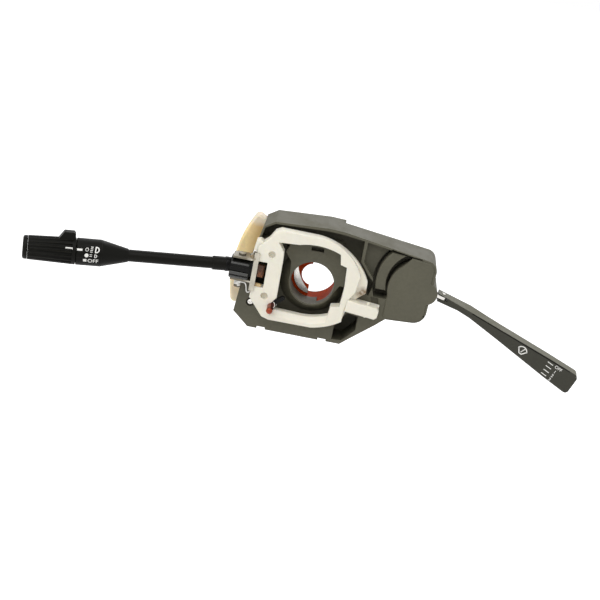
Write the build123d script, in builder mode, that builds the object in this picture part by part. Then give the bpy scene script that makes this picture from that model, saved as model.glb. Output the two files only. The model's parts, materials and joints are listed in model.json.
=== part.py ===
from build123d import *
from math import cos, radians, sin, tan
import os

# Combination stalk switch for a steering column.
# +X runs to the right, +Z up, and the driver sits on the -Y side.
# The origin is the centre of the column bore in the rear mounting plane.
# A "level" is a distance in front of that plane, so level 42 is Y = -42.

os.makedirs("parts", exist_ok=True)

# ---------------------------------------------------------------- driving sizes
# Column bore and the boss around it
bore_radius = 18.0
collar_length = 8.2
boss_rim = 1.2
boss_slope = 35.0
skirt_reach = 21.0
skirt_wall = 0.8
skirt_relief = 0.4
skirt_start = 165.0
skirt_end = 290.0

# Housing
deck_level = 42.0
cover_thickness = 2.0
shell_wall = 2.4
case_corner_radius = 9.0
case_foot_radius = 11.0
housing_left = -60.0
housing_top = 48.5
housing_bottom = -47.5
step_x = 18.5
step_level = 12.0
slope_end_level = 3.0
recess_floor = 26.0
moat_floor = 30.0
shelf_floor = 34.0
pocket_floor = 15.0
chamber_x = -43.0
chamber_z = -5.0
chamber_width = 13.0
chamber_height = 50.0
chamber_depth = 10.0
board_thickness = 1.6
rivet_radius = 1.1
rivet_proud = 0.8
rivet_pitch_x = 6.0
rivet_pitch_z = 9.0
rivet_rows = 5
cover_bore_relief = 2.0
notch_width = 6.9
notch_height = 1.8
pin_sink = 10.0

# Column fixing
fixing_circle_radius = 33.0
fixing_hole_radius = 2.25
fixing_hole_depth = 12.0
fixing_count = 3
fixing_start = 90.0
fixing_post_wall = 2.75

# Screws
screw_radius = 1.5
screw_head_radius = 2.8
screw_head_height = 1.8
screw_length = 9.0
cover_edge = 1.0
screw_spots = [(-50.5, -42.0), (-36.0, 36.0), (10.0, 42.5), (12.0, -42.0)]
deck_screw_spot = (-47.4, -26.2)
deck_screw_sink = 3.0

# Slip ring in the rear of the bore
carrier_outer = 23.5
carrier_clearance = 0.35
carrier_flange = 2.5
carrier_lift = 0.6
shaft_room = 9.8
drive_flat = 2.0
skirt_gap = 0.35
slip_ring_wall = 0.8
slip_ring_width = 9.0
slip_ring_inset = 3.0
leaf_level = 18.5
leaf_thickness = 0.8
leaf_outer = 16.4
leaf_inner = 36.0
leaf_shift = 25.6
leaf_angle = 213.7

# Turn signal yoke
yoke_gap = 1.0
yoke_left = -48.5
yoke_thickness = 11.0
yoke_step = 5.0
yoke_pivot_x = 34.0
yoke_pivot_z = -9.4
yoke_pin_radius = 3.0
yoke_pin_clearance = 0.05
dimple_radius = 2.9
dimple_depth = 3.5
tongue_thickness = 3.0
arm_bevel = 4.6
yoke_edge = 0.5

# Detent block on the yoke
block_length = 27.0
block_width = 9.8
block_height = 10.0
block_tilt = -5.0
block_overlap = 3.4
block_socket = 6.5
block_roof = 1.5
cross_pin_radius = 1.2
cross_pin_offset = 14.0
cross_pin_proud = 1.8
plunger_radius = 2.2
plunger_length = 8.6
plunger_clearance = 0.08
plunger_offset = 20.0
detent_depth = 2.0
detent_clearance = 0.8

# Lever bracket, hinge pin and knuckle
bracket_sheet = 1.5
bracket_top = 20.5
bracket_bottom = -12.0
bracket_left = -67.0
bracket_lip = 2.6
low_cheek_reach = 3.2
cheek_gap = 0.6
hinge_x = -60.0
hinge_level = 51.0
hinge_pin_radius = 2.0
hinge_clearance = 0.05
pin_head = 1.4
pin_head_overhang = 1.1
pin_clip = 0.8
knuckle_height = 17.6
knuckle_depth = 15.5
knuckle_left = -68.3
knuckle_right = -52.2
knuckle_z = 5.0
finger_width = 10.0
finger_thickness = 4.0
finger_reach = 12.0
neck_reach = 3.4
neck_height = 12.0
neck_thickness = 5.4
return_wire = 0.6
return_turns = 4
spring_slack = 0.1

# Left stalk, along its own axis from the hinge
stalk_z = 6.65
stalk_forward = 0.2126
stalk_fall = 0.0489
rod_radius = 4.9
ferrule_length = 13.4
ferrule_wall = 0.8
cone_start = 91.9
cone_end = 112.8
grip_radius = 10.9
collar_end = 133.4
knob_gap = 0.4
knob_length = 38.0
knob_tip_radius = 9.7
cap_length = 4.0
spindle_radius = 4.0
spindle_clearance = 0.06
spindle_length = 13.0
flute_count = 18
flute_radius = 1.35
tab_height = 5.2
tab_width = 7.0
tab_length = 14.0

# Pawl on its long pin
pawl_pin_x = -30.0
pawl_pin_z = -22.4
pawl_pin_radius = 2.6
pawl_pin_reach = 14.0
pawl_clearance = 0.05
pawl_thickness = 3.0
pawl_length = 11.0
pawl_boss_radius = 4.3
pawl_width = 3.6
pawl_angle = 38.0
pawl_lift = 3.0
pawl_float = 0.3
pawl_room = 6.4
pawl_wire = 0.5
pawl_turns = 2

# Wiper switch
drum_x = 86.5
drum_z = 9.5
lid_radius = 25.0
lid_thickness = 2.4
lid_proud = 0.6
lobe_x = drum_x + 7.0
lobe_radius = 9.5
lid_corner_radius = 7.0
lid_foot_radius = 10.0
strip_x = drum_x + 1.5
strip_z = drum_z + 4.5
strip_gap = 3.6
strip_width = 8.5
strip_foot = 8.4
strip_head = 23.6
strip_head_fall = 1.6
strip_drop = 1.2
channel_gap = 2.4
strip_inner = lid_radius + strip_gap
strip_outer = strip_inner + strip_width
channel_radius = strip_outer + channel_gap
wiper_pocket_radius = 22.0
rotor_radius = 6.4
rotor_bottom = 18.0
rotor_height = 16.0
rotor_arm = 22.0
rotor_arm_width = 7.0
rotor_arm_thickness = 5.0
shank_root = 1.0
wiper_pin_radius = 2.5
wiper_pin_clearance = 0.05
wiper_pin_sink = 4.0
wiper_pin_proud = 2.0
wiper_travel = 24.0
shank_level = 28.0
shank_width = 8.0
shank_thickness = 2.5
shank_slope = -14.6
slot_margin = 15.0
lever_pin_reach = 15.5
lever_pin_radius = 1.6
lever_pin_clearance = 0.05
lever_pin_length = 6.8
lever_neck = 11.1
lever_thickness = 9.0
fork_gap = 0.3
fork_start = 2.6
fork_end = 0.6
lever_edge = 0.8
lever_tip = 131.9
lever_drop = 45.5
lever_tip_radius = 3.5
contact_thickness = 1.2
contact_gap = 0.3
contact_reach = 19.0
stud_radius = 1.4
stud_depth = 1.2

# Dip switch body, an arc about the yoke pivot
dip_inner = 88.0
dip_width = 15.0
dip_start = 149.5
dip_end = 196.5
dip_bottom = 3.0
dip_height = 12.0
dip_corner = 4.0
dip_edge = 1.6
dip_end_gap = 0.8

# Harness socket on the sloping rear face
socket_width = 24.0
socket_height = 30.0
socket_wall = 1.4
socket_pin_pitch = 6.0
socket_left = 32.0
socket_z = 6.0
socket_mouth = 0.6
blade_width = 1.6
blade_thickness = 0.8
blade_recess = 1.2
latch_width = 5.0
latch_depth = 10.8

# Running gaps
body_gap = 0.4
seat_gap = 0.1


def front(level):
    """Plane parallel to the deck at a level, drawn as seen by the driver."""
    return Plane.XZ.offset(level)


def export(shape, name):
    """Label one finished piece and write its STEP file."""
    shape.label = name
    export_step(shape, f"parts/{name}.step")


def on_circle(x, z, radius, angle):
    """Point at an angle on a circle seen from the front."""
    return (x + radius * cos(radians(angle)), z + radius * sin(radians(angle)))


# ---------------------------------------------------------------- levels and places
# Bore and slip ring, from the collar inwards
skirt_outer = bore_radius + skirt_relief + skirt_wall
carrier_inner = skirt_outer + skirt_gap
carrier_rear = cover_thickness + carrier_lift
carrier_front = deck_level - collar_length - carrier_lift

# Yoke, block and lever bracket
yoke_back = deck_level + yoke_gap
yoke_front = yoke_back + yoke_thickness
block_back = yoke_back + tongue_thickness
web_right = yoke_left - seat_gap
web_left = web_right - bracket_sheet
bracket_front = yoke_front + seat_gap + bracket_sheet
cheek_low = knuckle_z - knuckle_height / 2 - cheek_gap
cheek_high = knuckle_z + knuckle_height / 2 + cheek_gap
cheek_back = deck_level + cheek_gap
window_front = hinge_level + neck_thickness / 2 + cheek_gap

# Return spring below the lower cheek, and the hinge pin through both
spring_top = cheek_low - bracket_sheet - seat_gap
pin_low = spring_top - 2 * return_wire * return_turns - seat_gap - pin_clip
leg_plane = Plane(
    origin=(
        hinge_x, -hinge_level - hinge_pin_radius - spring_slack - return_wire,
        spring_top - return_wire,
    ),
    z_dir=(1, 0, 0),
)

# Cancelling pawl on the yoke
pawl_deck = yoke_back + pawl_lift
pawl_back = pawl_deck + pawl_float
pawl_top = pawl_back + pawl_thickness

# Wiper rotor: its contact slides over studs in the floor of the pocket
wiper_pocket_floor = rotor_bottom - contact_thickness - contact_gap
shank_rise = shank_level - shank_width / 2
stud_spots = [
    on_circle(lobe_x, drum_z, contact_reach, 180.0 + shank_slope - wiper_travel * step / 2)
    for step in range(3)
]
lever_pin_at = on_circle(lobe_x, drum_z, lever_pin_reach, shank_slope)
lever_pin_plane = Plane(
    origin=(lever_pin_at[0], -shank_level, lever_pin_at[1]),
    z_dir=(-sin(radians(shank_slope)), 0.0, cos(radians(shank_slope))),
)

# Dip switch body
dip_outer = dip_inner + dip_width

# ---------------------------------------------------------------- shared outlines
# Outer outline of the housing, clockwise from the lower left corner
case_right = lobe_x + 5.3
slope_end = case_right + 5.0
housing_outline = [
    (housing_left, -36.0),
    (housing_left + 2.0, -15.0),
    (housing_left + 10.5, 28.0),
    (housing_left + 13.0, housing_top - 8.5),
    (housing_left + 21.5, housing_top - 3.0),
    (6.0, housing_top),
    (step_x, housing_top - 0.5),
    (case_right, 36.2),
    (case_right - 1.8, -16.6),
    (73.0, -18.2),
    (65.0, -18.6),
    (57.2, -25.8),
    (39.8, -40.5),
    (31.8, housing_bottom),
    (-46.3, housing_bottom),
]

# Lid of the wiper switch: its left edge follows the drum, and a lobe bulges on the right
lid_right = case_right - shell_wall
lid_outline = [
    (drum_x - 9.5, drum_z + 27.6),
    (lid_right, drum_z + 25.9),
    (lid_right - 1.0, drum_z - 25.4),
    (drum_x - 21.3, drum_z - 27.4),
    (drum_x - 24.3, drum_z - 25.5),
    (drum_x - 24.0, drum_z - 5.0),
    (drum_x - 16.0, drum_z + 19.2),
]


def slope_level(x):
    """Level of the sloping rear face of the wiper side at a given X."""
    return step_level - (step_level - slope_end_level) * (x - step_x) / (slope_end - step_x)


def round_right_corners(upper_radius, lower_radius):
    """Round the two right-hand corners of the outline being sketched."""
    for end, radius in ((-1, upper_radius), (0, lower_radius)):
        corners = vertices().filter_by(lambda corner: corner.X > lid_right - 1.5)
        fillet(corners.sort_by(Axis.Y)[end], radius=radius)


with BuildSketch() as lid_shape:
    with BuildLine():
        Polyline(*lid_outline, close=True)
    make_face()
    round_right_corners(lid_corner_radius, lid_foot_radius)
    with Locations((lobe_x, drum_z)):
        Circle(lobe_radius)
    with BuildLine():
        drum_top = (drum_x, drum_z + lid_radius)
        drum_foot = (drum_x, drum_z - lid_radius)
        ThreePointArc(drum_top, (drum_x - lid_radius, drum_z), drum_foot)
        Line(drum_foot, drum_top)
    make_face()

# ---------------------------------------------------------------- housing
# Open space left and below the bore, round the cone of the boss
with BuildPart() as moat_cutter:
    with BuildSketch(front(moat_floor)):
        with BuildLine():
            Polyline(
                (-20.3, 15.2), (-25.7, 22.2), (-23.5, 29.0), (-29.0, 29.0), (-29.0, -31.5),
                (20.0, -31.5), (26.5, -12.0), (26.5, 2.0), (22.7, 2.0), (18.5, -5.0),
                (-18.5, -5.0), close=True,
            )
        make_face()
    extrude(amount=deck_level - moat_floor)
    with BuildSketch(front(moat_floor)):
        Circle(bore_radius + boss_rim + (deck_level - moat_floor) * tan(radians(boss_slope)))
    extrude(amount=deck_level - moat_floor, taper=boss_slope, mode=Mode.SUBTRACT)

with BuildPart() as housing:
    with BuildSketch(front(cover_thickness)):
        with BuildLine():
            Polyline(*housing_outline, close=True)
        make_face()
        round_right_corners(case_corner_radius, case_foot_radius)
        with Locations((lobe_x, drum_z)):
            Circle(lobe_radius)
    extrude(amount=deck_level - cover_thickness)
    # The wiper side is shallower and its rear face slopes
    with BuildSketch(Plane.XY):
        with BuildLine():
            Polyline(
                (step_x, 0.0), (step_x, -step_level), (slope_end, -slope_end_level),
                (slope_end, 0.0), close=True,
            )
        make_face()
    extrude(amount=2 * housing_top, both=True, mode=Mode.SUBTRACT)
    # Posts that carry the fixing holes to the rear plane
    with BuildSketch(front(cover_thickness)):
        with PolarLocations(fixing_circle_radius, fixing_count, start_angle=fixing_start):
            Circle(fixing_hole_radius + fixing_post_wall)
    extrude(amount=step_level - cover_thickness)
    with BuildSketch(front(0.0)):
        with PolarLocations(fixing_circle_radius, fixing_count, start_angle=fixing_start):
            Circle(fixing_hole_radius + fixing_post_wall)
        with Locations((step_x, 0.0)):
            Rectangle(
                2 * case_right, 2 * case_right, align=(Align.MAX, Align.CENTER), mode=Mode.SUBTRACT
            )
    extrude(amount=cover_thickness)
    # Column bore, wider behind the collar
    with BuildSketch(front(0.0)):
        Circle(bore_radius)
    extrude(amount=deck_level, mode=Mode.SUBTRACT)
    with BuildSketch(front(0.0)):
        Circle(carrier_outer + carrier_clearance)
    extrude(amount=deck_level - collar_length, mode=Mode.SUBTRACT)
    # Part skirt below the collar, inside the turning carrier
    with BuildSketch(front(deck_level - skirt_reach)):
        Circle(skirt_outer)
        Circle(bore_radius + skirt_relief, mode=Mode.SUBTRACT)
        with BuildLine():
            Polyline(
                (0.0, 0.0), on_circle(0.0, 0.0, 2 * skirt_outer, skirt_start),
                on_circle(0.0, 0.0, 3 * skirt_outer, (skirt_start + skirt_end) / 2),
                on_circle(0.0, 0.0, 2 * skirt_outer, skirt_end), close=True,
            )
        make_face(mode=Mode.INTERSECT)
    extrude(amount=skirt_reach - collar_length)
    # Open space round the boss
    add(moat_cutter.part, mode=Mode.SUBTRACT)
    # Deep recess inside the top wall and down the right of the yoke
    with BuildSketch(front(recess_floor)):
        with BuildLine():
            Polyline(
                (housing_left + 11.6, 28.0),
                (housing_left + 14.1, housing_top - 9.4),
                (housing_left + 22.0, housing_top - 4.6),
                (6.0, housing_top - shell_wall),
                (step_x, housing_top - 0.5 - shell_wall),
                (36.0, 46.0 - shell_wall),
                (36.0, 26.0),
                (44.0, 16.0),
                (50.5, 9.7),
                (47.0, -1.5),
                (40.0, 3.0),
                (34.0, 5.0),
                (31.0, 20.0),
                (18.0, 37.0),
                (-30.0, 37.5),
                (-38.0, 33.0),
                close=True,
            )
        make_face()
    extrude(amount=deck_level - recess_floor, mode=Mode.SUBTRACT)
    # Shelf between that recess and the wiper channel
    with BuildSketch(front(shelf_floor)):
        with BuildLine():
            Polyline(
                (38.5, 45.6 - shell_wall), (64.0, 42.2 - shell_wall), (55.0, 35.0),
                (50.3, 25.3), (49.0, 13.0), (44.0, 19.0), (38.5, 26.0), close=True,
            )
        make_face()
    extrude(amount=deck_level - shelf_floor, mode=Mode.SUBTRACT)
    # Curved channel round the drum
    with BuildSketch(front(recess_floor)):
        with BuildLine():
            Polyline(
                (50.7, -1.6), (60.9, -1.6), (85.0, 4.0), (85.0, 40.0 - shell_wall),
                (76.5, 40.8 - shell_wall), (62.7, 43.0 - shell_wall),
                (46.0, 44.0), (46.0, -1.6), close=True,
            )
        make_face()
        with Locations((strip_x, strip_z)):
            Circle(channel_radius, mode=Mode.INTERSECT)
        with Locations((drum_x, drum_z)):
            Circle(lid_radius, mode=Mode.SUBTRACT)
    extrude(amount=deck_level - recess_floor, mode=Mode.SUBTRACT)
    # Pocket in the lower right corner
    with BuildSketch(front(pocket_floor)):
        with BuildLine():
            Polyline(
                (24.5, -44.6), (24.6, -31.9), (29.2, -24.0), (34.0, -19.5),
                (42.7, -21.1), (42.6, -33.0), (33.0, -44.0), close=True,
            )
        make_face()
    extrude(amount=deck_level - pocket_floor, mode=Mode.SUBTRACT)
    # Key slot above the bore and the opening for the lever finger
    with Locations((-0.5, -deck_level, 29.4)):
        Box(10.4, 12.0, 3.6, mode=Mode.SUBTRACT)
    with Locations((-42.5, -deck_level, 4.0)):
        Box(9.0, 24.0, 45.0, mode=Mode.SUBTRACT)
    # Notches along the bottom edge
    with Locations((-35.0, -deck_level / 2, housing_bottom), (16.7, -deck_level / 2, housing_bottom)):
        Box(notch_width, deck_level, 2 * notch_height, mode=Mode.SUBTRACT)
    # Seat of the wiper lid, and the pocket of its rotor
    with BuildSketch(front(deck_level + lid_proud - lid_thickness)):
        add(lid_shape.sketch)
        offset(amount=seat_gap)
    extrude(amount=lid_thickness, mode=Mode.SUBTRACT)
    with BuildSketch(front(wiper_pocket_floor)):
        with Locations((drum_x, drum_z)):
            Circle(wiper_pocket_radius)
        with Locations((lid_right - shell_wall, drum_z)):
            Rectangle(
                2 * shell_wall + lobe_radius, 4 * lobe_radius,
                align=(Align.MIN, Align.CENTER), mode=Mode.SUBTRACT,
            )
        with Locations((lobe_x, drum_z)):
            Circle(lobe_radius - shell_wall)
    extrude(amount=deck_level - wiper_pocket_floor, mode=Mode.SUBTRACT)
    # Way out for the wiper shank, as wide as its swing
    with BuildSketch(front(shank_level - shank_width / 2 - body_gap)):
        with BuildLine():
            Polyline(
                (lobe_x, drum_z),
                on_circle(lobe_x, drum_z, 16.0, shank_slope + slot_margin),
                on_circle(lobe_x, drum_z, 18.0, shank_slope - wiper_travel / 2),
                on_circle(lobe_x, drum_z, 16.0, shank_slope - wiper_travel - slot_margin),
                close=True,
            )
        make_face()
    extrude(amount=shank_width + 2 * body_gap, mode=Mode.SUBTRACT)
    # Pivot posts
    with BuildSketch(front(deck_level - pin_sink)):
        with Locations((yoke_pivot_x, yoke_pivot_z)):
            Circle(yoke_pin_radius)
    extrude(amount=pin_sink, mode=Mode.SUBTRACT)
    with BuildSketch(front(wiper_pocket_floor - wiper_pin_sink)):
        with Locations((lobe_x, drum_z)):
            Circle(wiper_pin_radius)
    extrude(amount=wiper_pin_sink, mode=Mode.SUBTRACT)
    # Seats of the fixed wiper contacts
    with BuildSketch(front(wiper_pocket_floor - stud_depth)):
        with Locations(*stud_spots):
            Circle(stud_radius)
    extrude(amount=stud_depth, mode=Mode.SUBTRACT)
    # Detent track for the plunger
    with BuildSketch(front(deck_level - detent_depth)):
        with Locations((yoke_pivot_x, yoke_pivot_z)):
            Circle(plunger_offset + plunger_radius + detent_clearance)
            Circle(plunger_offset - plunger_radius - detent_clearance, mode=Mode.SUBTRACT)
            Rectangle(60.0, 15.0, mode=Mode.INTERSECT)
        with Locations((yoke_pivot_x - 15.0, yoke_pivot_z)):
            Rectangle(30.0, 60.0, mode=Mode.SUBTRACT)
    extrude(amount=detent_depth, mode=Mode.SUBTRACT)
    # Column fixing holes
    with BuildSketch(front(0.0)):
        with PolarLocations(fixing_circle_radius, fixing_count, start_angle=fixing_start):
            Circle(fixing_hole_radius)
    extrude(amount=cover_thickness + fixing_hole_depth, mode=Mode.SUBTRACT)
    # Screw holes behind, and the sunk hole of the deck screw
    with BuildSketch(front(0.0)):
        with Locations(*screw_spots):
            Circle(screw_radius)
    extrude(amount=cover_thickness + screw_length, mode=Mode.SUBTRACT)
    with BuildSketch(front(deck_level - deck_screw_sink)):
        with Locations(deck_screw_spot):
            Circle(screw_head_radius + 0.7)
    extrude(amount=deck_screw_sink, mode=Mode.SUBTRACT)
    with BuildSketch(front(deck_level - deck_screw_sink - screw_length)):
        with Locations(deck_screw_spot):
            Circle(screw_radius)
    extrude(amount=screw_length, mode=Mode.SUBTRACT)
    # Room for the dip switch body along the left edge
    with BuildSketch(front(dip_bottom - seat_gap)):
        with BuildLine():
            Polyline(
                (yoke_pivot_x, yoke_pivot_z),
                on_circle(yoke_pivot_x, yoke_pivot_z, 2 * dip_inner, dip_start - dip_end_gap),
                on_circle(yoke_pivot_x, yoke_pivot_z, 2 * dip_inner, dip_end + dip_end_gap),
                close=True,
            )
        make_face()
        with Locations((yoke_pivot_x, yoke_pivot_z)):
            Circle(dip_inner - seat_gap, mode=Mode.SUBTRACT)
    extrude(amount=dip_height + 2 * seat_gap, mode=Mode.SUBTRACT)
    # Contact chamber behind the deck
    with Locations((chamber_x, -cover_thickness - chamber_depth / 2, chamber_z)):
        Box(chamber_width, chamber_depth, chamber_height, mode=Mode.SUBTRACT)
export(housing.part, "housing")


# ---------------------------------------------------------------- rear cover
with BuildPart() as rear_cover:
    with BuildSketch(front(0.0)):
        with BuildLine():
            Polyline(*housing_outline, close=True)
        make_face()
        with Locations((step_x, 0.0)):
            Rectangle(
                2 * case_right, 2 * case_right, align=(Align.MIN, Align.CENTER), mode=Mode.SUBTRACT
            )
        offset(amount=-cover_edge, kind=Kind.INTERSECTION)
    extrude(amount=cover_thickness)
    with BuildSketch(front(0.0)):
        Circle(bore_radius + cover_bore_relief)
        with PolarLocations(fixing_circle_radius, fixing_count, start_angle=fixing_start):
            Circle(fixing_hole_radius)
        with Locations(*screw_spots):
            Circle(screw_radius)
    extrude(amount=cover_thickness, mode=Mode.SUBTRACT)
    with BuildSketch(front(0.0)):
        with Locations(*screw_spots):
            Circle(screw_head_radius)
    extrude(amount=screw_head_radius - screw_radius, taper=45, mode=Mode.SUBTRACT)
export(rear_cover.part, "rear_cover")

# ---------------------------------------------------------------- screws
def countersunk_screws(plane, spots):
    """Slotted countersunk screws whose heads start in the given plane."""
    with BuildPart() as screws:
        with BuildSketch(plane):
            with Locations(*spots):
                Circle(screw_radius)
        extrude(amount=screw_length)
        with BuildSketch(plane):
            with Locations(*spots):
                Circle(screw_head_radius)
        extrude(amount=screw_head_radius - screw_radius, taper=45)
        with BuildSketch(plane):
            with Locations(*spots):
                Rectangle(2 * screw_head_radius, 0.7)
        extrude(amount=0.6, mode=Mode.SUBTRACT)
    return screws.part


export(countersunk_screws(front(0.0), screw_spots), "cover_screws")

with BuildPart() as deck_screw:
    with BuildSketch(front(deck_level - deck_screw_sink - screw_length)):
        with Locations(deck_screw_spot):
            Circle(screw_radius)
    extrude(amount=screw_length)
    with BuildSketch(front(deck_level - deck_screw_sink)):
        with Locations(deck_screw_spot):
            Circle(screw_head_radius)
    extrude(amount=screw_head_height)
    chamfer(deck_screw.faces().sort_by(Axis.Y)[0].edges(), length=0.7)
    with BuildSketch(front(deck_level - deck_screw_sink + screw_head_height)):
        with Locations(deck_screw_spot):
            Rectangle(3.2, 0.8)
            Rectangle(0.8, 3.2)
    extrude(amount=-1.0, mode=Mode.SUBTRACT)
export(deck_screw.part, "deck_screw")

# ---------------------------------------------------------------- contact board
# The board lies against the front end of its chamber, with the rivets flush there
board_level = cover_thickness + chamber_depth - board_thickness

with BuildPart() as contact_board:
    with BuildSketch(front(board_level)):
        with Locations((chamber_x, chamber_z)):
            Rectangle(chamber_width - 2 * body_gap, chamber_height - 2 * body_gap)
            with GridLocations(rivet_pitch_x, rivet_pitch_z, 2, rivet_rows):
                Circle(rivet_radius, mode=Mode.SUBTRACT)
    extrude(amount=board_thickness)
export(contact_board.part, "contact_board")

with BuildPart() as contact_rivets:
    with BuildSketch(front(board_level - rivet_proud)):
        with Locations((chamber_x, chamber_z)):
            with GridLocations(rivet_pitch_x, rivet_pitch_z, 2, rivet_rows):
                Circle(rivet_radius)
    extrude(amount=board_thickness + rivet_proud)
export(contact_rivets.part, "contact_rivets")

# ---------------------------------------------------------------- dip switch body
with BuildPart() as dip_switch_body:
    with BuildSketch(front(dip_bottom)):
        with BuildLine():
            dip_middle = (dip_start + dip_end) / 2
            start_inner = on_circle(yoke_pivot_x, yoke_pivot_z, dip_inner, dip_start)
            start_outer = on_circle(yoke_pivot_x, yoke_pivot_z, dip_outer, dip_start)
            end_inner = on_circle(yoke_pivot_x, yoke_pivot_z, dip_inner, dip_end)
            end_outer = on_circle(yoke_pivot_x, yoke_pivot_z, dip_outer, dip_end)
            ThreePointArc(
                start_outer, on_circle(yoke_pivot_x, yoke_pivot_z, dip_outer, dip_middle), end_outer
            )
            Line(end_outer, end_inner)
            ThreePointArc(
                end_inner, on_circle(yoke_pivot_x, yoke_pivot_z, dip_inner, dip_middle), start_inner
            )
            Line(start_inner, start_outer)
        make_face()
        fillet(vertices(), radius=min(dip_corner, dip_width / 3))
    extrude(amount=dip_height)
    chamfer(dip_switch_body.faces().sort_by(Axis.Y)[0].edges(), length=min(dip_edge, dip_width / 4))
export(dip_switch_body.part, "dip_switch_body")

# ---------------------------------------------------------------- slip ring
with BuildPart() as slip_ring_carrier:
    with BuildSketch(front(carrier_rear)):
        Circle(carrier_outer)
        Circle(carrier_inner, mode=Mode.SUBTRACT)
    extrude(amount=carrier_front - carrier_rear)
    # Seat of the slip ring round the outside
    with BuildSketch(front(carrier_rear + slip_ring_inset)):
        Circle(carrier_outer)
        Circle(carrier_outer - slip_ring_wall, mode=Mode.SUBTRACT)
    extrude(amount=slip_ring_width, mode=Mode.SUBTRACT)
    # Flange that the shaft turns, across the left half only
    with BuildSketch(front(leaf_level - carrier_flange)):
        Circle(carrier_inner)
        Circle(shaft_room, mode=Mode.SUBTRACT)
        with Locations((-drive_flat, 0.0)):
            Rectangle(
                2 * carrier_outer, 2 * carrier_outer,
                align=(Align.MIN, Align.CENTER), mode=Mode.SUBTRACT,
            )
    extrude(amount=carrier_flange)
export(slip_ring_carrier.part, "slip_ring_carrier")

with BuildPart() as slip_ring:
    with BuildSketch(front(carrier_rear + slip_ring_inset)):
        Circle(carrier_outer)
        Circle(carrier_outer - slip_ring_wall, mode=Mode.SUBTRACT)
    extrude(amount=slip_ring_width)
export(slip_ring.part, "slip_ring")

# Crescent of sheet metal on the flange that brings the current to the wheel
with BuildPart() as ring_leaf:
    with BuildSketch(front(leaf_level)):
        Circle(leaf_outer)
        with Locations(on_circle(0.0, 0.0, -leaf_shift, leaf_angle)):
            Circle(leaf_inner, mode=Mode.SUBTRACT)
        with Locations((-drive_flat, 0.0)):
            Rectangle(
                2 * leaf_outer, 2 * leaf_outer,
                align=(Align.MIN, Align.CENTER), mode=Mode.SUBTRACT,
            )
    extrude(amount=leaf_thickness)
export(ring_leaf.part, "ring_leaf")

# ---------------------------------------------------------------- turn signal yoke
block_start = yoke_pivot_x - block_overlap


def yoke_outline(shoulder, right_side):
    """Outline of the yoke less its window; the two layers differ down the right side."""
    with BuildSketch() as outline:
        with BuildLine():
            ThreePointArc((-1.4, 42.3), shoulder, right_side[0])
            Polyline(*right_side)
            ThreePointArc(right_side[-1], (17.2, -31.0), (5.3, -34.2))
            Polyline(
                (5.3, -34.2), (-30.0, -34.4), (-36.0, -32.6), (yoke_left, -18.0),
                (yoke_left, 26.0), (-41.0, 33.2), (-36.8, 40.4), (-32.5, 42.6), (-1.4, 42.3),
            )
        make_face()
        with BuildLine():
            ThreePointArc((-15.6, 33.6), (2.0, 35.6), (18.5, 32.0))
            Polyline(
                (18.5, 32.0), (20.0, 23.7), (25.4, 22.2), (26.6, 3.3), (25.5, -11.8),
                (18.3, -13.3), (17.5, -22.3),
            )
            ThreePointArc((17.5, -22.3), (8.0, -25.5), (-5.0, -26.9))
            Polyline(
                (-5.0, -26.9), (-31.0, -25.8), (-32.4, -22.5), (-26.3, -14.4), (-26.7, 17.6),
                (-27.1, 24.5), (-32.6, 32.3), (-15.6, 33.6),
            )
        make_face(mode=Mode.SUBTRACT)
    return outline.sketch


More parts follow.
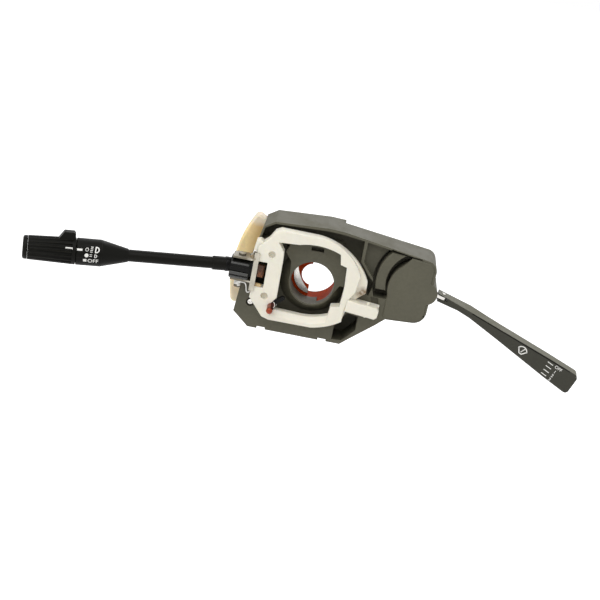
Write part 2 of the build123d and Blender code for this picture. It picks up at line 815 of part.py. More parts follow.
with BuildPart() as turn_yoke:
    # Base layer, with the tongue that carries the block
    with BuildSketch(front(yoke_back)):
        add(yoke_outline(
            (24.0, 34.0),
            [(44.4, 11.5), (44.8, 2.0), (38.0, -4.0), (31.5, -15.5), (29.4, -24.4)],
        ))
        with Locations((block_start, yoke_pivot_z)):
            Rectangle(
                block_length, block_width, rotation=block_tilt, align=(Align.MIN, Align.CENTER)
            )
    extrude(amount=yoke_step)
    # Front layer, narrower down the right arm
    with BuildSketch(front(yoke_back + yoke_step)):
        add(yoke_outline(
            (22.0, 35.2),
            [(37.8, 16.5), (36.2, 3.0), (32.0, -4.4), (29.6, -15.5), (29.4, -24.4)],
        ))
    extrude(amount=yoke_thickness - yoke_step)
    # Soft front rim, and the broad bevel inside the lower arm
    front_face = turn_yoke.faces().sort_by(Axis.Y)[0]
    chamfer(front_face.outer_wire().edges(), length=yoke_edge)
    front_face = turn_yoke.faces().sort_by(Axis.Y)[0]
    arm_edges = front_face.inner_wires()[0].edges().filter_by(
        lambda edge: edge.center().Z < -24.0 and edge.length > 10.0
    )
    chamfer(arm_edges, length=arm_bevel)
    # Block seat: the tongue is thinner than the arm
    with BuildSketch(front(yoke_back + tongue_thickness)):
        with Locations((block_start, yoke_pivot_z)):
            Rectangle(
                block_length + 4.0, block_width + 2 * seat_gap,
                rotation=block_tilt, align=(Align.MIN, Align.CENTER),
            )
    extrude(amount=yoke_thickness, mode=Mode.SUBTRACT)
    # Slot in the left edge for the lever finger
    with Locations((yoke_left, -yoke_back - yoke_thickness / 2, knuckle_z - 2.4)):
        Box(19.6, yoke_thickness, neck_height + 9.8, mode=Mode.SUBTRACT)
    # Eye of the pivot pin, and the plunger hole
    with BuildSketch(front(yoke_back)):
        with Locations((yoke_pivot_x, yoke_pivot_z)):
            Circle(yoke_pin_radius + yoke_pin_clearance)
    extrude(amount=yoke_thickness, mode=Mode.SUBTRACT)
    with BuildSketch(front(yoke_back)):
        with Locations(on_circle(yoke_pivot_x, yoke_pivot_z, plunger_offset, block_tilt)):
            Circle(plunger_radius + plunger_clearance)
    extrude(amount=yoke_thickness, mode=Mode.SUBTRACT)
    # Blind dimples in the left arm
    with BuildSketch(front(yoke_front)):
        with Locations((-36.3, 20.9), (-36.6, -14.8)):
            Circle(dimple_radius)
    extrude(amount=-dimple_depth, mode=Mode.SUBTRACT)
    # Foot and undercut for the pawl in the lower left corner of the window
    with BuildSketch(front(yoke_back)):
        with Locations((pawl_pin_x, pawl_pin_z)):
            Circle(pawl_boss_radius + body_gap)
    extrude(amount=pawl_deck - yoke_back)
    with BuildSketch(front(pawl_deck)):
        with Locations((pawl_pin_x, pawl_pin_z)):
            Circle(pawl_boss_radius + body_gap)
            Rectangle(
                pawl_length + 5.0, 2 * pawl_boss_radius, rotation=pawl_angle,
                align=(Align.MIN, Align.CENTER),
            )
    extrude(amount=pawl_room, mode=Mode.SUBTRACT)
    with BuildSketch(front(yoke_back)):
        with Locations((pawl_pin_x, pawl_pin_z)):
            Circle(pawl_pin_radius)
    extrude(amount=yoke_thickness, mode=Mode.SUBTRACT)
export(turn_yoke.part, "turn_yoke")

# ---------------------------------------------------------------- yoke pivot pin
with BuildPart() as yoke_pivot_pin:
    with BuildSketch(front(deck_level - pin_sink)):
        with Locations((yoke_pivot_x, yoke_pivot_z)):
            Circle(yoke_pin_radius)
    extrude(amount=pin_sink + yoke_gap + tongue_thickness + block_socket - 0.5)
    chamfer(yoke_pivot_pin.faces().sort_by(Axis.Y)[0].edges(), length=0.5)
export(yoke_pivot_pin.part, "yoke_pivot_pin")

# ---------------------------------------------------------------- detent block
plunger_spot = on_circle(yoke_pivot_x, yoke_pivot_z, plunger_offset, block_tilt)
cross_at = on_circle(yoke_pivot_x, yoke_pivot_z, cross_pin_offset, block_tilt)
cross_plane = Plane(
    origin=(cross_at[0], -block_back - block_height / 2, cross_at[1]),
    z_dir=(-sin(radians(block_tilt)), 0.0, cos(radians(block_tilt))),
)

with BuildPart() as detent_block:
    with BuildSketch(front(block_back)):
        with Locations((block_start, yoke_pivot_z)):
            Rectangle(
                block_length, block_width, rotation=block_tilt, align=(Align.MIN, Align.CENTER)
            )
        chamfer(vertices().sort_by(Axis.X)[-2:], length=2.0)
    extrude(amount=block_height)
    chamfer(detent_block.faces().sort_by(Axis.Y)[0].edges(), length=0.7)
    with BuildSketch(front(block_back)):
        with Locations((yoke_pivot_x, yoke_pivot_z)):
            Circle(yoke_pin_radius + yoke_pin_clearance)
    extrude(amount=block_socket, mode=Mode.SUBTRACT)
    with BuildSketch(front(block_back)):
        with Locations(plunger_spot):
            Circle(plunger_radius + plunger_clearance)
    extrude(amount=block_height - block_roof, mode=Mode.SUBTRACT)
    with BuildSketch(cross_plane):
        Circle(cross_pin_radius)
    extrude(amount=block_width, both=True, mode=Mode.SUBTRACT)
export(detent_block.part, "detent_block")

with BuildPart() as block_cross_pin:
    with BuildSketch(cross_plane):
        Circle(cross_pin_radius)
    extrude(amount=block_width / 2 + cross_pin_proud, both=True)
    chamfer(block_cross_pin.edges().filter_by(GeomType.CIRCLE), length=0.3)
export(block_cross_pin.part, "block_cross_pin")

with BuildPart() as detent_plunger:
    with BuildSketch(front(deck_level - detent_depth + detent_clearance)):
        with Locations(plunger_spot):
            Circle(plunger_radius)
    extrude(amount=plunger_length)
    chamfer(detent_plunger.faces().sort_by(Axis.Y)[-1].edges(), length=1.2)
export(detent_plunger.part, "detent_plunger")

# ---------------------------------------------------------------- lever bracket
def bracket_cheek(base, cheek_front):
    """Sheet cheek beside the knuckle, from its base height and its foremost level."""
    with BuildPart() as cheek:
        with BuildSketch(Plane.XY.offset(base)):
            with BuildLine():
                Polyline(
                    (web_right, -yoke_back), (web_right, -bracket_front),
                    (web_left - 1.0, -cheek_front), (bracket_left, -cheek_front),
                    (bracket_left, -cheek_back - 3.0), (bracket_left + 3.0, -cheek_back),
                    (web_left - 1.0, -cheek_back), close=True,
                )
            make_face()
        extrude(amount=bracket_sheet)
    return cheek.part


with BuildPart() as lever_bracket:
    # Web against the side of the yoke, and its lip in front of it
    with BuildSketch(Plane.XY.offset(bracket_bottom)):
        with BuildLine():
            Polyline(
                (web_left, -yoke_back), (web_right, -yoke_back),
                (web_right, -yoke_front - seat_gap), (web_right + bracket_lip, -yoke_front - seat_gap),
                (web_right + bracket_lip, -bracket_front), (web_left, -bracket_front), close=True,
            )
        make_face()
    extrude(amount=bracket_top - bracket_bottom)
    # Window for the neck of the knuckle, open at the back
    with Locations((web_left, -yoke_back, knuckle_z)):
        Box(
            4 * bracket_sheet, 2 * (window_front - yoke_back), neck_height + 2 * cheek_gap,
            mode=Mode.SUBTRACT,
        )
    # The lower cheek stands further back than the upper one
    add(bracket_cheek(cheek_low - bracket_sheet, hinge_level + low_cheek_reach))
    add(bracket_cheek(cheek_high, hinge_level + knuckle_depth / 2 + cheek_gap))
    with BuildSketch(Plane.XY.offset(bracket_bottom)):
        with Locations((hinge_x, -hinge_level)):
            Circle(hinge_pin_radius)
    extrude(amount=bracket_top - bracket_bottom, mode=Mode.SUBTRACT)
export(lever_bracket.part, "lever_bracket")

# ---------------------------------------------------------------- hinge pin
with BuildPart() as lever_hinge_pin:
    with BuildSketch(Plane.XY.offset(pin_low)):
        with Locations((hinge_x, -hinge_level)):
            Circle(hinge_pin_radius)
    extrude(amount=cheek_high + bracket_sheet - pin_low)
    with BuildSketch(Plane.XY.offset(cheek_high + bracket_sheet)):
        with Locations((hinge_x, -hinge_level)):
            Circle(hinge_pin_radius + pin_head_overhang)
    extrude(amount=pin_head)
    chamfer(lever_hinge_pin.faces().sort_by(Axis.Z)[-1].edges(), length=0.4)
    with BuildSketch(Plane.XY.offset(pin_low)):
        with Locations((hinge_x, -hinge_level)):
            Circle(hinge_pin_radius + pin_head_overhang)
    extrude(amount=pin_clip)
export(lever_hinge_pin.part, "lever_hinge_pin")

# ---------------------------------------------------------------- return spring
# Close-wound torsion spring below the lower cheek, with one leg to the web
with BuildPart() as return_spring:
    with BuildSketch(front(hinge_level)):
        for turn in range(return_turns):
            with Locations((
                hinge_x + hinge_pin_radius + spring_slack + return_wire,
                spring_top - return_wire * (2 * turn + 1),
            )):
                RegularPolygon(radius=return_wire, side_count=6, major_radius=False)
    revolve(axis=Axis((hinge_x, -hinge_level, 0.0), (0, 0, 1)))
    with BuildSketch(leg_plane):
        Rectangle(2 * return_wire, 2 * return_wire)
    extrude(amount=web_left - hinge_x)
export(return_spring.part, "return_spring")

# ---------------------------------------------------------------- spring clip
with BuildPart() as spring_clip:
    with BuildSketch(front(yoke_back + 1.0)):
        with BuildLine():
            Polyline(
                (web_left - 1.8, bracket_top), (web_right, bracket_top),
                (web_right, 26.0), (-44.6, 29.8), (-47.4, 31.4), (-50.6, 30.2), close=True,
            )
        make_face()
        with BuildLine():
            Polyline(
                (yoke_left, 26.0), (-41.0, 33.2), (-41.0, 20.0), (yoke_left, 20.0), close=True
            )
        make_face(mode=Mode.SUBTRACT)
    extrude(amount=yoke_thickness - 2.0)
export(spring_clip.part, "spring_clip")

# ---------------------------------------------------------------- knuckle
with BuildPart() as lever_knuckle:
    with BuildSketch(Plane.YZ.offset(knuckle_left)):
        with Locations((-hinge_level, knuckle_z)):
            Rectangle(knuckle_depth, knuckle_height)
        chamfer(vertices(), length=3.2)
        # Grooves between the ribs of the front face
        with Locations(
            (-hinge_level - knuckle_depth / 2, knuckle_z + 2.2),
            (-hinge_level - knuckle_depth / 2, knuckle_z - 2.2),
        ):
            Rectangle(1.2, 1.1, mode=Mode.SUBTRACT)
    extrude(amount=knuckle_right - knuckle_left)
    chamfer(lever_knuckle.faces().sort_by(Axis.X)[0].edges(), length=0.4)
    # Neck through the window of the bracket
    with BuildSketch(Plane.YZ.offset(knuckle_right)):
        with Locations((-hinge_level, knuckle_z)):
            Rectangle(neck_thickness, neck_height)
    extrude(amount=neck_reach)
    with BuildSketch(Plane.XY.offset(cheek_low)):
        with Locations((hinge_x, -hinge_level)):
            Circle(hinge_pin_radius + hinge_clearance)
    extrude(amount=knuckle_height + 2 * cheek_gap, mode=Mode.SUBTRACT)
export(lever_knuckle.part, "lever_knuckle")

# ---------------------------------------------------------------- dip finger
with BuildPart() as dip_finger:
    with BuildSketch(Plane.YZ.offset(knuckle_right + neck_reach)):
        with Locations((-hinge_level, knuckle_z)):
            Rectangle(finger_thickness, finger_width)
    extrude(amount=finger_reach - neck_reach)
    chamfer(dip_finger.faces().sort_by(Axis.X)[-1].edges().filter_by(Axis.Z), length=1.2)
export(dip_finger.part, "dip_finger")

# ---------------------------------------------------------------- left stalk
stalk_direction = Vector(-1.0, -stalk_forward, -stalk_fall).normalized()
stalk_origin = Vector(hinge_x, -hinge_level, stalk_z)
stalk_axis = Axis(stalk_origin, stalk_direction)
stalk_side = stalk_direction.cross(Vector(0, 0, 1)).normalized()
stalk_profile = Plane(origin=stalk_origin, x_dir=stalk_direction, z_dir=stalk_side)
stalk_up = stalk_profile.y_dir
rod_start = (hinge_x - knuckle_left) / abs(stalk_direction.X) + 1.6


def stalk_section(distance):
    """Plane across the stalk at a distance along it from the hinge."""
    return Plane(
        origin=stalk_origin + stalk_direction * distance, x_dir=stalk_up, z_dir=stalk_direction
    )


def turned(points):
    """Solid turned about the stalk from (distance, radius) points."""
    with BuildPart() as turned_part:
        with BuildSketch(stalk_profile):
            with BuildLine():
                Polyline(*points, close=True)
            make_face()
        revolve(axis=stalk_axis)
    return turned_part.part


collar_socket = cone_start + 8.0
rod = turned([
    (rod_start, 0.0), (rod_start, rod_radius),
    (collar_socket, rod_radius), (collar_socket, 0.0),
])
export(rod, "lever_rod")

ferrule_outer = rod_radius + seat_gap / 2 + ferrule_wall
ferrule = turned([
    (rod_start, rod_radius + seat_gap / 2), (rod_start, ferrule_outer),
    (rod_start + ferrule_length - 0.5, ferrule_outer),
    (rod_start + ferrule_length, ferrule_outer - 0.5),
    (rod_start + ferrule_length, rod_radius + seat_gap / 2),
])
export(ferrule, "rod_ferrule")

spindle_room = spindle_radius + spindle_clearance
lever_collar = turned([
    (cone_start, rod_radius + seat_gap / 2), (cone_start, rod_radius + 0.5),
    (cone_end, grip_radius - 0.3), (cone_end + 0.6, grip_radius - 0.3),
    (cone_end + 0.6, grip_radius), (collar_end - 0.4, grip_radius),
    (collar_end, grip_radius - 0.4), (collar_end, spindle_room),
    (collar_end - spindle_length - 0.6, spindle_room), (collar_end - spindle_length - 0.6, 0.0),
    (collar_socket, 0.0), (collar_socket, rod_radius + seat_gap / 2),
])
export(lever_collar, "lever_collar")

knob_start = collar_end + knob_gap
knob_end = knob_start + knob_length
knob_turned = turned([
    (collar_end - spindle_length, 0.0), (collar_end - spindle_length, spindle_radius),
    (knob_start, spindle_radius), (knob_start, grip_radius - 0.4),
    (knob_start + 0.4, grip_radius), (knob_end, knob_tip_radius), (knob_end, 0.0),
])
flute_centre = grip_radius - 0.3
tab_top = grip_radius + tab_height
with BuildPart() as light_knob:
    add(knob_turned)
    # Flutes that run out towards the tip
    with BuildSketch(stalk_section(knob_start + 3.0)):
        with PolarLocations(flute_centre, flute_count, start_angle=180 / flute_count):
            Circle(flute_radius)
    extrude(amount=knob_length, mode=Mode.SUBTRACT)
    # Smooth band for the marks, and the finger tab on top
    with BuildSketch(stalk_profile):
        with BuildLine():
            Polyline(
                (knob_start + 0.8, knob_tip_radius - 3.0), (knob_start + 0.8, tab_top - 1.4),
                (knob_start + 2.2, tab_top), (knob_start + tab_length - 4.0, tab_top),
                (knob_start + tab_length, grip_radius - 0.6),
                (knob_start + tab_length, knob_tip_radius - 3.0),
                close=True,
            )
        make_face()
    extrude(amount=tab_width / 2, both=True)
export(light_knob.part, "light_knob")

cap_radius = knob_tip_radius - 0.1
knob_cap = turned([
    (knob_end + seat_gap, 0.0), (knob_end + seat_gap, cap_radius - 0.5),
    (knob_end + 0.7, cap_radius), (knob_end + cap_length - 1.4, cap_radius - 0.1),
    (knob_end + cap_length - 0.4, cap_radius - 0.8), (knob_end + cap_length, cap_radius - 2.2),
    (knob_end + cap_length, 0.0),
])
export(knob_cap, "knob_end_cap")

# ---------------------------------------------------------------- pawl
with BuildPart() as pawl_pin:
    with BuildSketch(front(yoke_back)):
        with Locations((pawl_pin_x, pawl_pin_z)):
            Circle(pawl_pin_radius)
    extrude(amount=yoke_thickness + pawl_pin_reach)
    chamfer(pawl_pin.faces().sort_by(Axis.Y)[0].edges(), length=1.2)
export(pawl_pin.part, "pawl_pin")

with BuildPart() as cancel_pawl:
    with BuildSketch(front(pawl_back)):
        with Locations((pawl_pin_x, pawl_pin_z)):
            Circle(pawl_boss_radius)
            Rectangle(
                pawl_length, pawl_width, rotation=pawl_angle, align=(Align.MIN, Align.CENTER)
            )
        with Locations(on_circle(pawl_pin_x, pawl_pin_z, pawl_length, pawl_angle)):
            Circle(pawl_width / 2)
        with Locations((pawl_pin_x, pawl_pin_z)):
            Circle(pawl_pin_radius + pawl_clearance, mode=Mode.SUBTRACT)
    extrude(amount=pawl_thickness)
export(cancel_pawl.part, "cancel_pawl")

with BuildPart() as pawl_spring:
    with BuildSketch(Plane.XY.offset(pawl_pin_z)):
        for turn in range(pawl_turns):
            with Locations((
                pawl_pin_x + pawl_pin_radius + spring_slack + pawl_wire,
                -pawl_top - pawl_float - pawl_wire * (2 * turn + 1),
            )):
                RegularPolygon(radius=pawl_wire, side_count=6, major_radius=False)
    revolve(axis=Axis((pawl_pin_x, 0.0, pawl_pin_z), (0, 1, 0)))
export(pawl_spring.part, "pawl_spring")

# ---------------------------------------------------------------- wiper lid
with BuildPart() as wiper_cover:
    with BuildSketch(front(deck_level + lid_proud - lid_thickness)):
        add(lid_shape.sketch)
    extrude(amount=lid_thickness)
    chamfer(wiper_cover.faces().sort_by(Axis.Y)[0].edges(), length=0.5)
export(wiper_cover.part, "wiper_cover")

# ---------------------------------------------------------------- curved strip
with BuildPart() as channel_strip:
    with BuildSketch(front(recess_floor)):
        with Locations((strip_x, strip_z)):
            Circle(strip_outer)
            Circle(strip_inner, mode=Mode.SUBTRACT)
        with BuildLine():
            Polyline(
                (strip_x - strip_outer, strip_z - strip_foot),
                (strip_x - strip_inner / 2, strip_z - strip_foot),
                (strip_x - strip_inner / 2, strip_z + strip_head),
                (strip_x - strip_outer, strip_z + strip_head + strip_head_fall),
                close=True,
            )
        make_face(mode=Mode.INTERSECT)
    extrude(amount=deck_level - recess_floor - strip_drop)
    chamfer(channel_strip.faces().sort_by(Axis.Y)[0].edges(), length=0.5)
export(channel_strip.part, "channel_strip")

# ---------------------------------------------------------------- wiper rotor
with BuildPart() as wiper_pivot_pin:
    with BuildSketch(front(wiper_pocket_floor - wiper_pin_sink)):
        with Locations((lobe_x, drum_z)):
            Circle(wiper_pin_radius)
    extrude(amount=rotor_bottom + rotor_height + wiper_pin_proud - wiper_pocket_floor + wiper_pin_sink)
export(wiper_pivot_pin.part, "wiper_pivot_pin")

with BuildPart() as wiper_rotor:
    with BuildSketch(front(rotor_bottom)):
        with Locations((lobe_x, drum_z)):
            Circle(rotor_radius)
    extrude(amount=rotor_height)
    with BuildSketch(front(rotor_bottom)):
        with Locations((lobe_x, drum_z)):
            Rectangle(
                rotor_arm, rotor_arm_width,
                rotation=180.0 + shank_slope, align=(Align.MIN, Align.CENTER),
            )
    extrude(amount=rotor_arm_thickness)
    with BuildSketch(front(rotor_bottom)):
        with Locations((lobe_x, drum_z)):
            Circle(wiper_pin_radius + wiper_pin_clearance)
    extrude(amount=rotor_height, mode=Mode.SUBTRACT)
    # Seat of the steel shank
    with BuildSketch(front(shank_rise)):
        with Locations(on_circle(lobe_x, drum_z, wiper_pin_radius + shank_root, shank_slope)):
            Rectangle(
                2 * rotor_radius, shank_thickness, rotation=shank_slope,
                align=(Align.MIN, Align.CENTER),
            )
    extrude(amount=shank_width, mode=Mode.SUBTRACT)
export(wiper_rotor.part, "wiper_rotor")

with BuildPart() as wiper_contact:
    with BuildSketch(front(rotor_bottom - contact_thickness)):
        with Locations(on_circle(lobe_x, drum_z, contact_reach, 180.0 + shank_slope)):
            Rectangle(4.5, 5.5, rotation=shank_slope)
    extrude(amount=contact_thickness)
export(wiper_contact.part, "wiper_contact")

with BuildPart() as wiper_studs:
    with BuildSketch(front(wiper_pocket_floor - stud_depth)):
        with Locations(*stud_spots):
            Circle(stud_radius)
    extrude(amount=stud_depth)
export(wiper_studs.part, "wiper_studs")

# ---------------------------------------------------------------- wiper shank
with BuildPart() as wiper_shank:
    with BuildSketch(front(shank_rise)):
        with Locations(on_circle(lobe_x, drum_z, wiper_pin_radius + shank_root, shank_slope)):
            Rectangle(
                lever_pin_reach + shank_width / 2 - wiper_pin_radius - shank_root, shank_thickness,
                rotation=shank_slope, align=(Align.MIN, Align.CENTER),
            )
    extrude(amount=shank_width)
    ends = wiper_shank.edges().filter_by(
        lambda edge: edge.center().X > lever_pin_at[0] + 1.0
        and abs(edge.length - shank_thickness) < 0.01
    )
    fillet(ends, radius=0.98 * shank_width / 2)
    with BuildSketch(lever_pin_plane):
        Circle(lever_pin_radius + lever_pin_clearance)
    extrude(amount=shank_thickness, both=True, mode=Mode.SUBTRACT)
export(wiper_shank.part, "wiper_shank")

# ---------------------------------------------------------------- wiper lever
# Stations along the lever: distance right of the rotor, rise of its middle above the
# shank, then the heights above the rotor of the rear top edge, front ridge and lower edge
lever_stations = [
    (lever_neck, 0.0, 0.9, -0.2, -7.3),
    (29.5, 0.2, -4.5, -6.7, -11.9),
    (40.0, 2.6, -6.9, -9.9, -15.5),
    (53.5, 6.6, -11.5, -13.8, -21.6),
    (67.0, 10.7, -15.8, -17.7, -27.7),
    (85.0, 16.0, -21.2, -22.9, -36.2),
    (107.5, 22.8, -28.0, -29.3, -46.7),
    (138.5, 32.1, -37.9, -39.1, -60.1),
]

with BuildPart() as wiper_lever:
    for reach, rise, top, ridge, low in lever_stations:
        back = -shank_level - rise + lever_thickness / 2
        face = -shank_level - rise - lever_thickness / 2
        with BuildSketch(Plane.YZ.offset(lobe_x + reach)):
            with BuildLine():
                Polyline(
                    (back, drum_z + top), (face, drum_z + ridge), (face, drum_z + low + lever_edge),
                    (face + lever_edge, drum_z + low), (back, drum_z + low), close=True,
                )
            make_face()
    loft(ruled=True)
    # Tip cut square to the lever, with rounded corners
    tip_plane = Plane(
        origin=(lobe_x + lever_tip, -shank_level, drum_z - lever_drop),
        x_dir=(0.34, 0.0, 0.94), z_dir=(0.94, 0.0, -0.34),
    )
    split(bisect_by=tip_plane, keep=Keep.BOTTOM)
    tip_edges = wiper_lever.faces().sort_by(Axis.X)[-1].edges().filter_by(
        lambda edge: edge.length > lever_thickness - 2 * lever_edge
        and edge.length < lever_thickness + 2 * lever_edge
    )
    fillet(tip_edges, radius=lever_tip_radius)
    # Fork for the shank, and the hole of its pin
    with BuildSketch(front(0.0)):
        with Locations(on_circle(lobe_x, drum_z, rotor_radius + fork_start, shank_slope)):
            Rectangle(
                lever_pin_reach + shank_width / 2 + fork_end - rotor_radius - fork_start,
                shank_thickness + 2 * fork_gap,
                rotation=shank_slope, align=(Align.MIN, Align.CENTER),
            )
    extrude(amount=2 * shank_level, mode=Mode.SUBTRACT)
    with BuildSketch(lever_pin_plane):
        Circle(lever_pin_radius)
    extrude(amount=2 * lever_pin_length, both=True, mode=Mode.SUBTRACT)
export(wiper_lever.part, "wiper_lever")

with BuildPart() as wiper_lever_pin:
    with BuildSketch(lever_pin_plane):
        Circle(lever_pin_radius)
    extrude(amount=lever_pin_length / 2, both=True)
export(wiper_lever_pin.part, "wiper_lever_pin")

# ---------------------------------------------------------------- harness socket
socket_middle = socket_left + socket_width / 2
socket_right = socket_left + socket_width

with BuildPart() as harness_socket:
    with BuildSketch(Plane.XY.offset(socket_z - socket_height / 2)):
        with BuildLine():
            Polyline(
                (socket_left, -socket_mouth), (socket_right, -socket_mouth),
                (socket_right, -slope_level(socket_right)), (socket_left, -slope_level(socket_left)),
                close=True,
            )
        make_face()
    extrude(amount=socket_height)
    with BuildSketch(front(0.0)):
        with Locations((socket_middle, socket_z)):
            Rectangle(socket_width - 2 * socket_wall, socket_height - 2 * socket_wall)
    extrude(amount=slope_level(socket_right) - socket_wall, mode=Mode.SUBTRACT)
    # Gap for the latch of the plug
    with Locations((socket_middle, -socket_mouth, socket_z + socket_height / 2)):
        Box(latch_width, latch_depth, 4 * socket_wall, mode=Mode.SUBTRACT)
export(harness_socket.part, "harness_socket")

with BuildPart() as socket_pins:
    with BuildSketch(front(socket_mouth + blade_recess)):
        with Locations((socket_middle, socket_z)):
            with GridLocations(2 * socket_pin_pitch, socket_pin_pitch, 2, 4):
                Rectangle(blade_width, blade_thickness)
    extrude(amount=slope_level(socket_right) - socket_wall - socket_mouth - blade_recess)
export(socket_pins.part, "socket_pins")
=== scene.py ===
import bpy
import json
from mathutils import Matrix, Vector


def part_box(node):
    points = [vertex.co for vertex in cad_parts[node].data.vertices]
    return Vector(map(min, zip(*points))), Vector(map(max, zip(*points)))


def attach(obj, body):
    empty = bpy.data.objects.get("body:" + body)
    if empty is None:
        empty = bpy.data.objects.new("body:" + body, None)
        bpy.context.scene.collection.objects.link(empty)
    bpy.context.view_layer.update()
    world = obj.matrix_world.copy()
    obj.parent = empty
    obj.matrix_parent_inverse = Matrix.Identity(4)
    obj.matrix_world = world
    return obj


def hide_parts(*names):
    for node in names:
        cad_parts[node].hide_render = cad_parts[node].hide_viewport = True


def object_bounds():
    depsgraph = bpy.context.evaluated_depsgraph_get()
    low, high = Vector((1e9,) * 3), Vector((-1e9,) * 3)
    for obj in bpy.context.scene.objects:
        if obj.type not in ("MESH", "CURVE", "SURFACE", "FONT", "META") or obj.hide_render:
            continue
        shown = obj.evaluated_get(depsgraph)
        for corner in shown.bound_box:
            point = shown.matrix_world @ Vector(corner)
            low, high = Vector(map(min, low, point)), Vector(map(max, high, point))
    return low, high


bl_info = {
    "name": "Combination Stalk Switch",
    "version": (1, 0, 0),
    "blender": (4, 5, 0),
    "location": "View3D > Sidebar > Stalk Switch",
    "description": "Finishes, springs, printed marks and studio for a combination stalk switch",
    "category": "Object",
}

import json
from math import cos, pi, radians, sin

import bpy
from bpy.props import FloatProperty, FloatVectorProperty, PointerProperty
from mathutils import Matrix, Vector

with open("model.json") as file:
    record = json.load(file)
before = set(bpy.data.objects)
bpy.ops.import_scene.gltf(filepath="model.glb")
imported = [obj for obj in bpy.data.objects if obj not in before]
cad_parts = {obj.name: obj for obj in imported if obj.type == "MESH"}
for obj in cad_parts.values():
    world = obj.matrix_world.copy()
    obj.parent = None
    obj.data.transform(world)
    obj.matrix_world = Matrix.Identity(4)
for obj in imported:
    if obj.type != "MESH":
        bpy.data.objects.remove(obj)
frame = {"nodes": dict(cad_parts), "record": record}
cad_low, cad_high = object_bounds()

MM = 0.001


# ---------------------------------------------------------------- what a user can set
def colour_property(name, text, value):
    """A colour swatch with a linear default."""
    return FloatVectorProperty(
        name=name, description=text, subtype="COLOR", size=3, min=0.0, max=1.0, default=value
    )


def length_property(name, text, value):
    """A length in metres."""
    return FloatProperty(
        name=name, description=text, subtype="DISTANCE", unit="LENGTH", default=value
    )


class StalkSwitchColours(bpy.types.PropertyGroup):
    """Base colours of the finishes"""

    housing: colour_property("Housing", "Moulded case and wiper lid", (0.096, 0.091, 0.064))
    lever: colour_property("Left lever", "Satin black knob and collar", (0.0038, 0.0037, 0.0026))
    wiper_lever: colour_property("Wiper lever", "Moulded wiper lever", (0.034, 0.033, 0.024))
    knuckle: colour_property("Knuckle", "Glossy black knuckle", (0.0022, 0.0022, 0.0016))
    rod: colour_property("Rod", "Painted rod and ferrule", (0.0042, 0.0040, 0.0026))
    white_nylon: colour_property("White nylon", "Yoke, block and clip", (0.80, 0.765, 0.655))
    amber_nylon: colour_property("Amber nylon", "Aged body of the dip switch", (0.92, 0.71, 0.34))
    orange: colour_property("Slip ring carrier", "Orange sleeve in the bore", (0.50, 0.060, 0.010))
    steel: colour_property("Steel", "Bright zinc plate", (0.72, 0.70, 0.66))
    spring: colour_property("Spring steel", "Drawn wire", (0.66, 0.65, 0.62))
    copper: colour_property("Copper", "Dull red pin", (0.27, 0.060, 0.032))
    brass: colour_property("Brass", "Contacts and blades", (0.68, 0.48, 0.18))
    laminate: colour_property("Laminate", "Brown board and finger", (0.055, 0.020, 0.008))
    smoked: colour_property("Smoked zinc", "Bracket of the stalk hinge", (0.46, 0.43, 0.36))
    print_ink: colour_property("Print", "White printed marks", (0.80, 0.79, 0.75))


class StalkSwitchStage(bpy.types.PropertyGroup):
    """Sizes of the studio"""

    floor_drop: length_property("Floor drop", "Height of the origin above the floor", 0.30)
    floor_size: length_property("Floor size", "Side of the square floor", 12.0)
    key_size: length_property("Key lamp size", "Side of the main lamp", 1.3)
    fill_size: length_property("Fill lamp size", "Side of the side lamps", 1.0)


# ---------------------------------------------------------------- node helpers
def add_node(tree, kind, **settings):
    """A new node with its settings."""
    node = tree.nodes.new(kind)
    for name, value in settings.items():
        setattr(node, name, value)
    return node


def group_tree(name, inputs, outputs):
    """An empty shader group with named sockets, and its two end nodes."""
    tree = bpy.data.node_groups.new(name, "ShaderNodeTree")
    for socket, kind, value in inputs:
        made = tree.interface.new_socket(socket, in_out="INPUT", socket_type=kind)
        if value is not None:
            made.default_value = value
    for socket, kind in outputs:
        tree.interface.new_socket(socket, in_out="OUTPUT", socket_type=kind)
    return tree, tree.nodes.new("NodeGroupInput"), tree.nodes.new("NodeGroupOutput")


def noise(tree, vector, scale, detail=4.0, roughness=0.55):
    """A noise texture read at a vector; scale may be a number or a socket."""
    node = add_node(tree, "ShaderNodeTexNoise")
    tree.links.new(vector, node.inputs["Vector"])
    if isinstance(scale, (int, float)):
        node.inputs["Scale"].default_value = scale
    else:
        tree.links.new(scale, node.inputs["Scale"])
    node.inputs["Detail"].default_value = detail
    node.inputs["Roughness"].default_value = roughness
    return node.outputs["Fac"]


def map_range(tree, value, from_min, from_max, to_min, to_max):
    """A value carried from one range to another; the target ends may be sockets."""
    node = add_node(tree, "ShaderNodeMapRange")
    tree.links.new(value, node.inputs["Value"])
    node.inputs["From Min"].default_value = from_min
    node.inputs["From Max"].default_value = from_max
    for socket, end in (("To Min", to_min), ("To Max", to_max)):
        if isinstance(end, (int, float)):
            node.inputs[socket].default_value = end
        else:
            tree.links.new(end, node.inputs[socket])
    return node.outputs["Result"]


def mix_colour(tree, factor, first, second, blend="MIX"):
    """Two colours mixed by a factor."""
    node = add_node(tree, "ShaderNodeMix", data_type="RGBA", blend_type=blend)
    for socket, source in ((0, factor), (6, first), (7, second)):
        if isinstance(source, bpy.types.NodeSocket):
            tree.links.new(source, node.inputs[socket])
        else:
            node.inputs[socket].default_value = source
    return node.outputs[2]


def combine(tree, operation, first, second, clamp=False):
    """Two values put together by one maths node."""
    node = add_node(tree, "ShaderNodeMath", operation=operation, use_clamp=clamp)
    tree.links.new(first, node.inputs[0])
    tree.links.new(second, node.inputs[1])
    return node.outputs[0]


def stretched(tree, vector, shares):
    """A vector times fixed shares of its three parts."""
    node = add_node(tree, "ShaderNodeVectorMath", operation="MULTIPLY")
    tree.links.new(vector, node.inputs[0])
    node.inputs[1].default_value = shares
    return node.outputs[0]


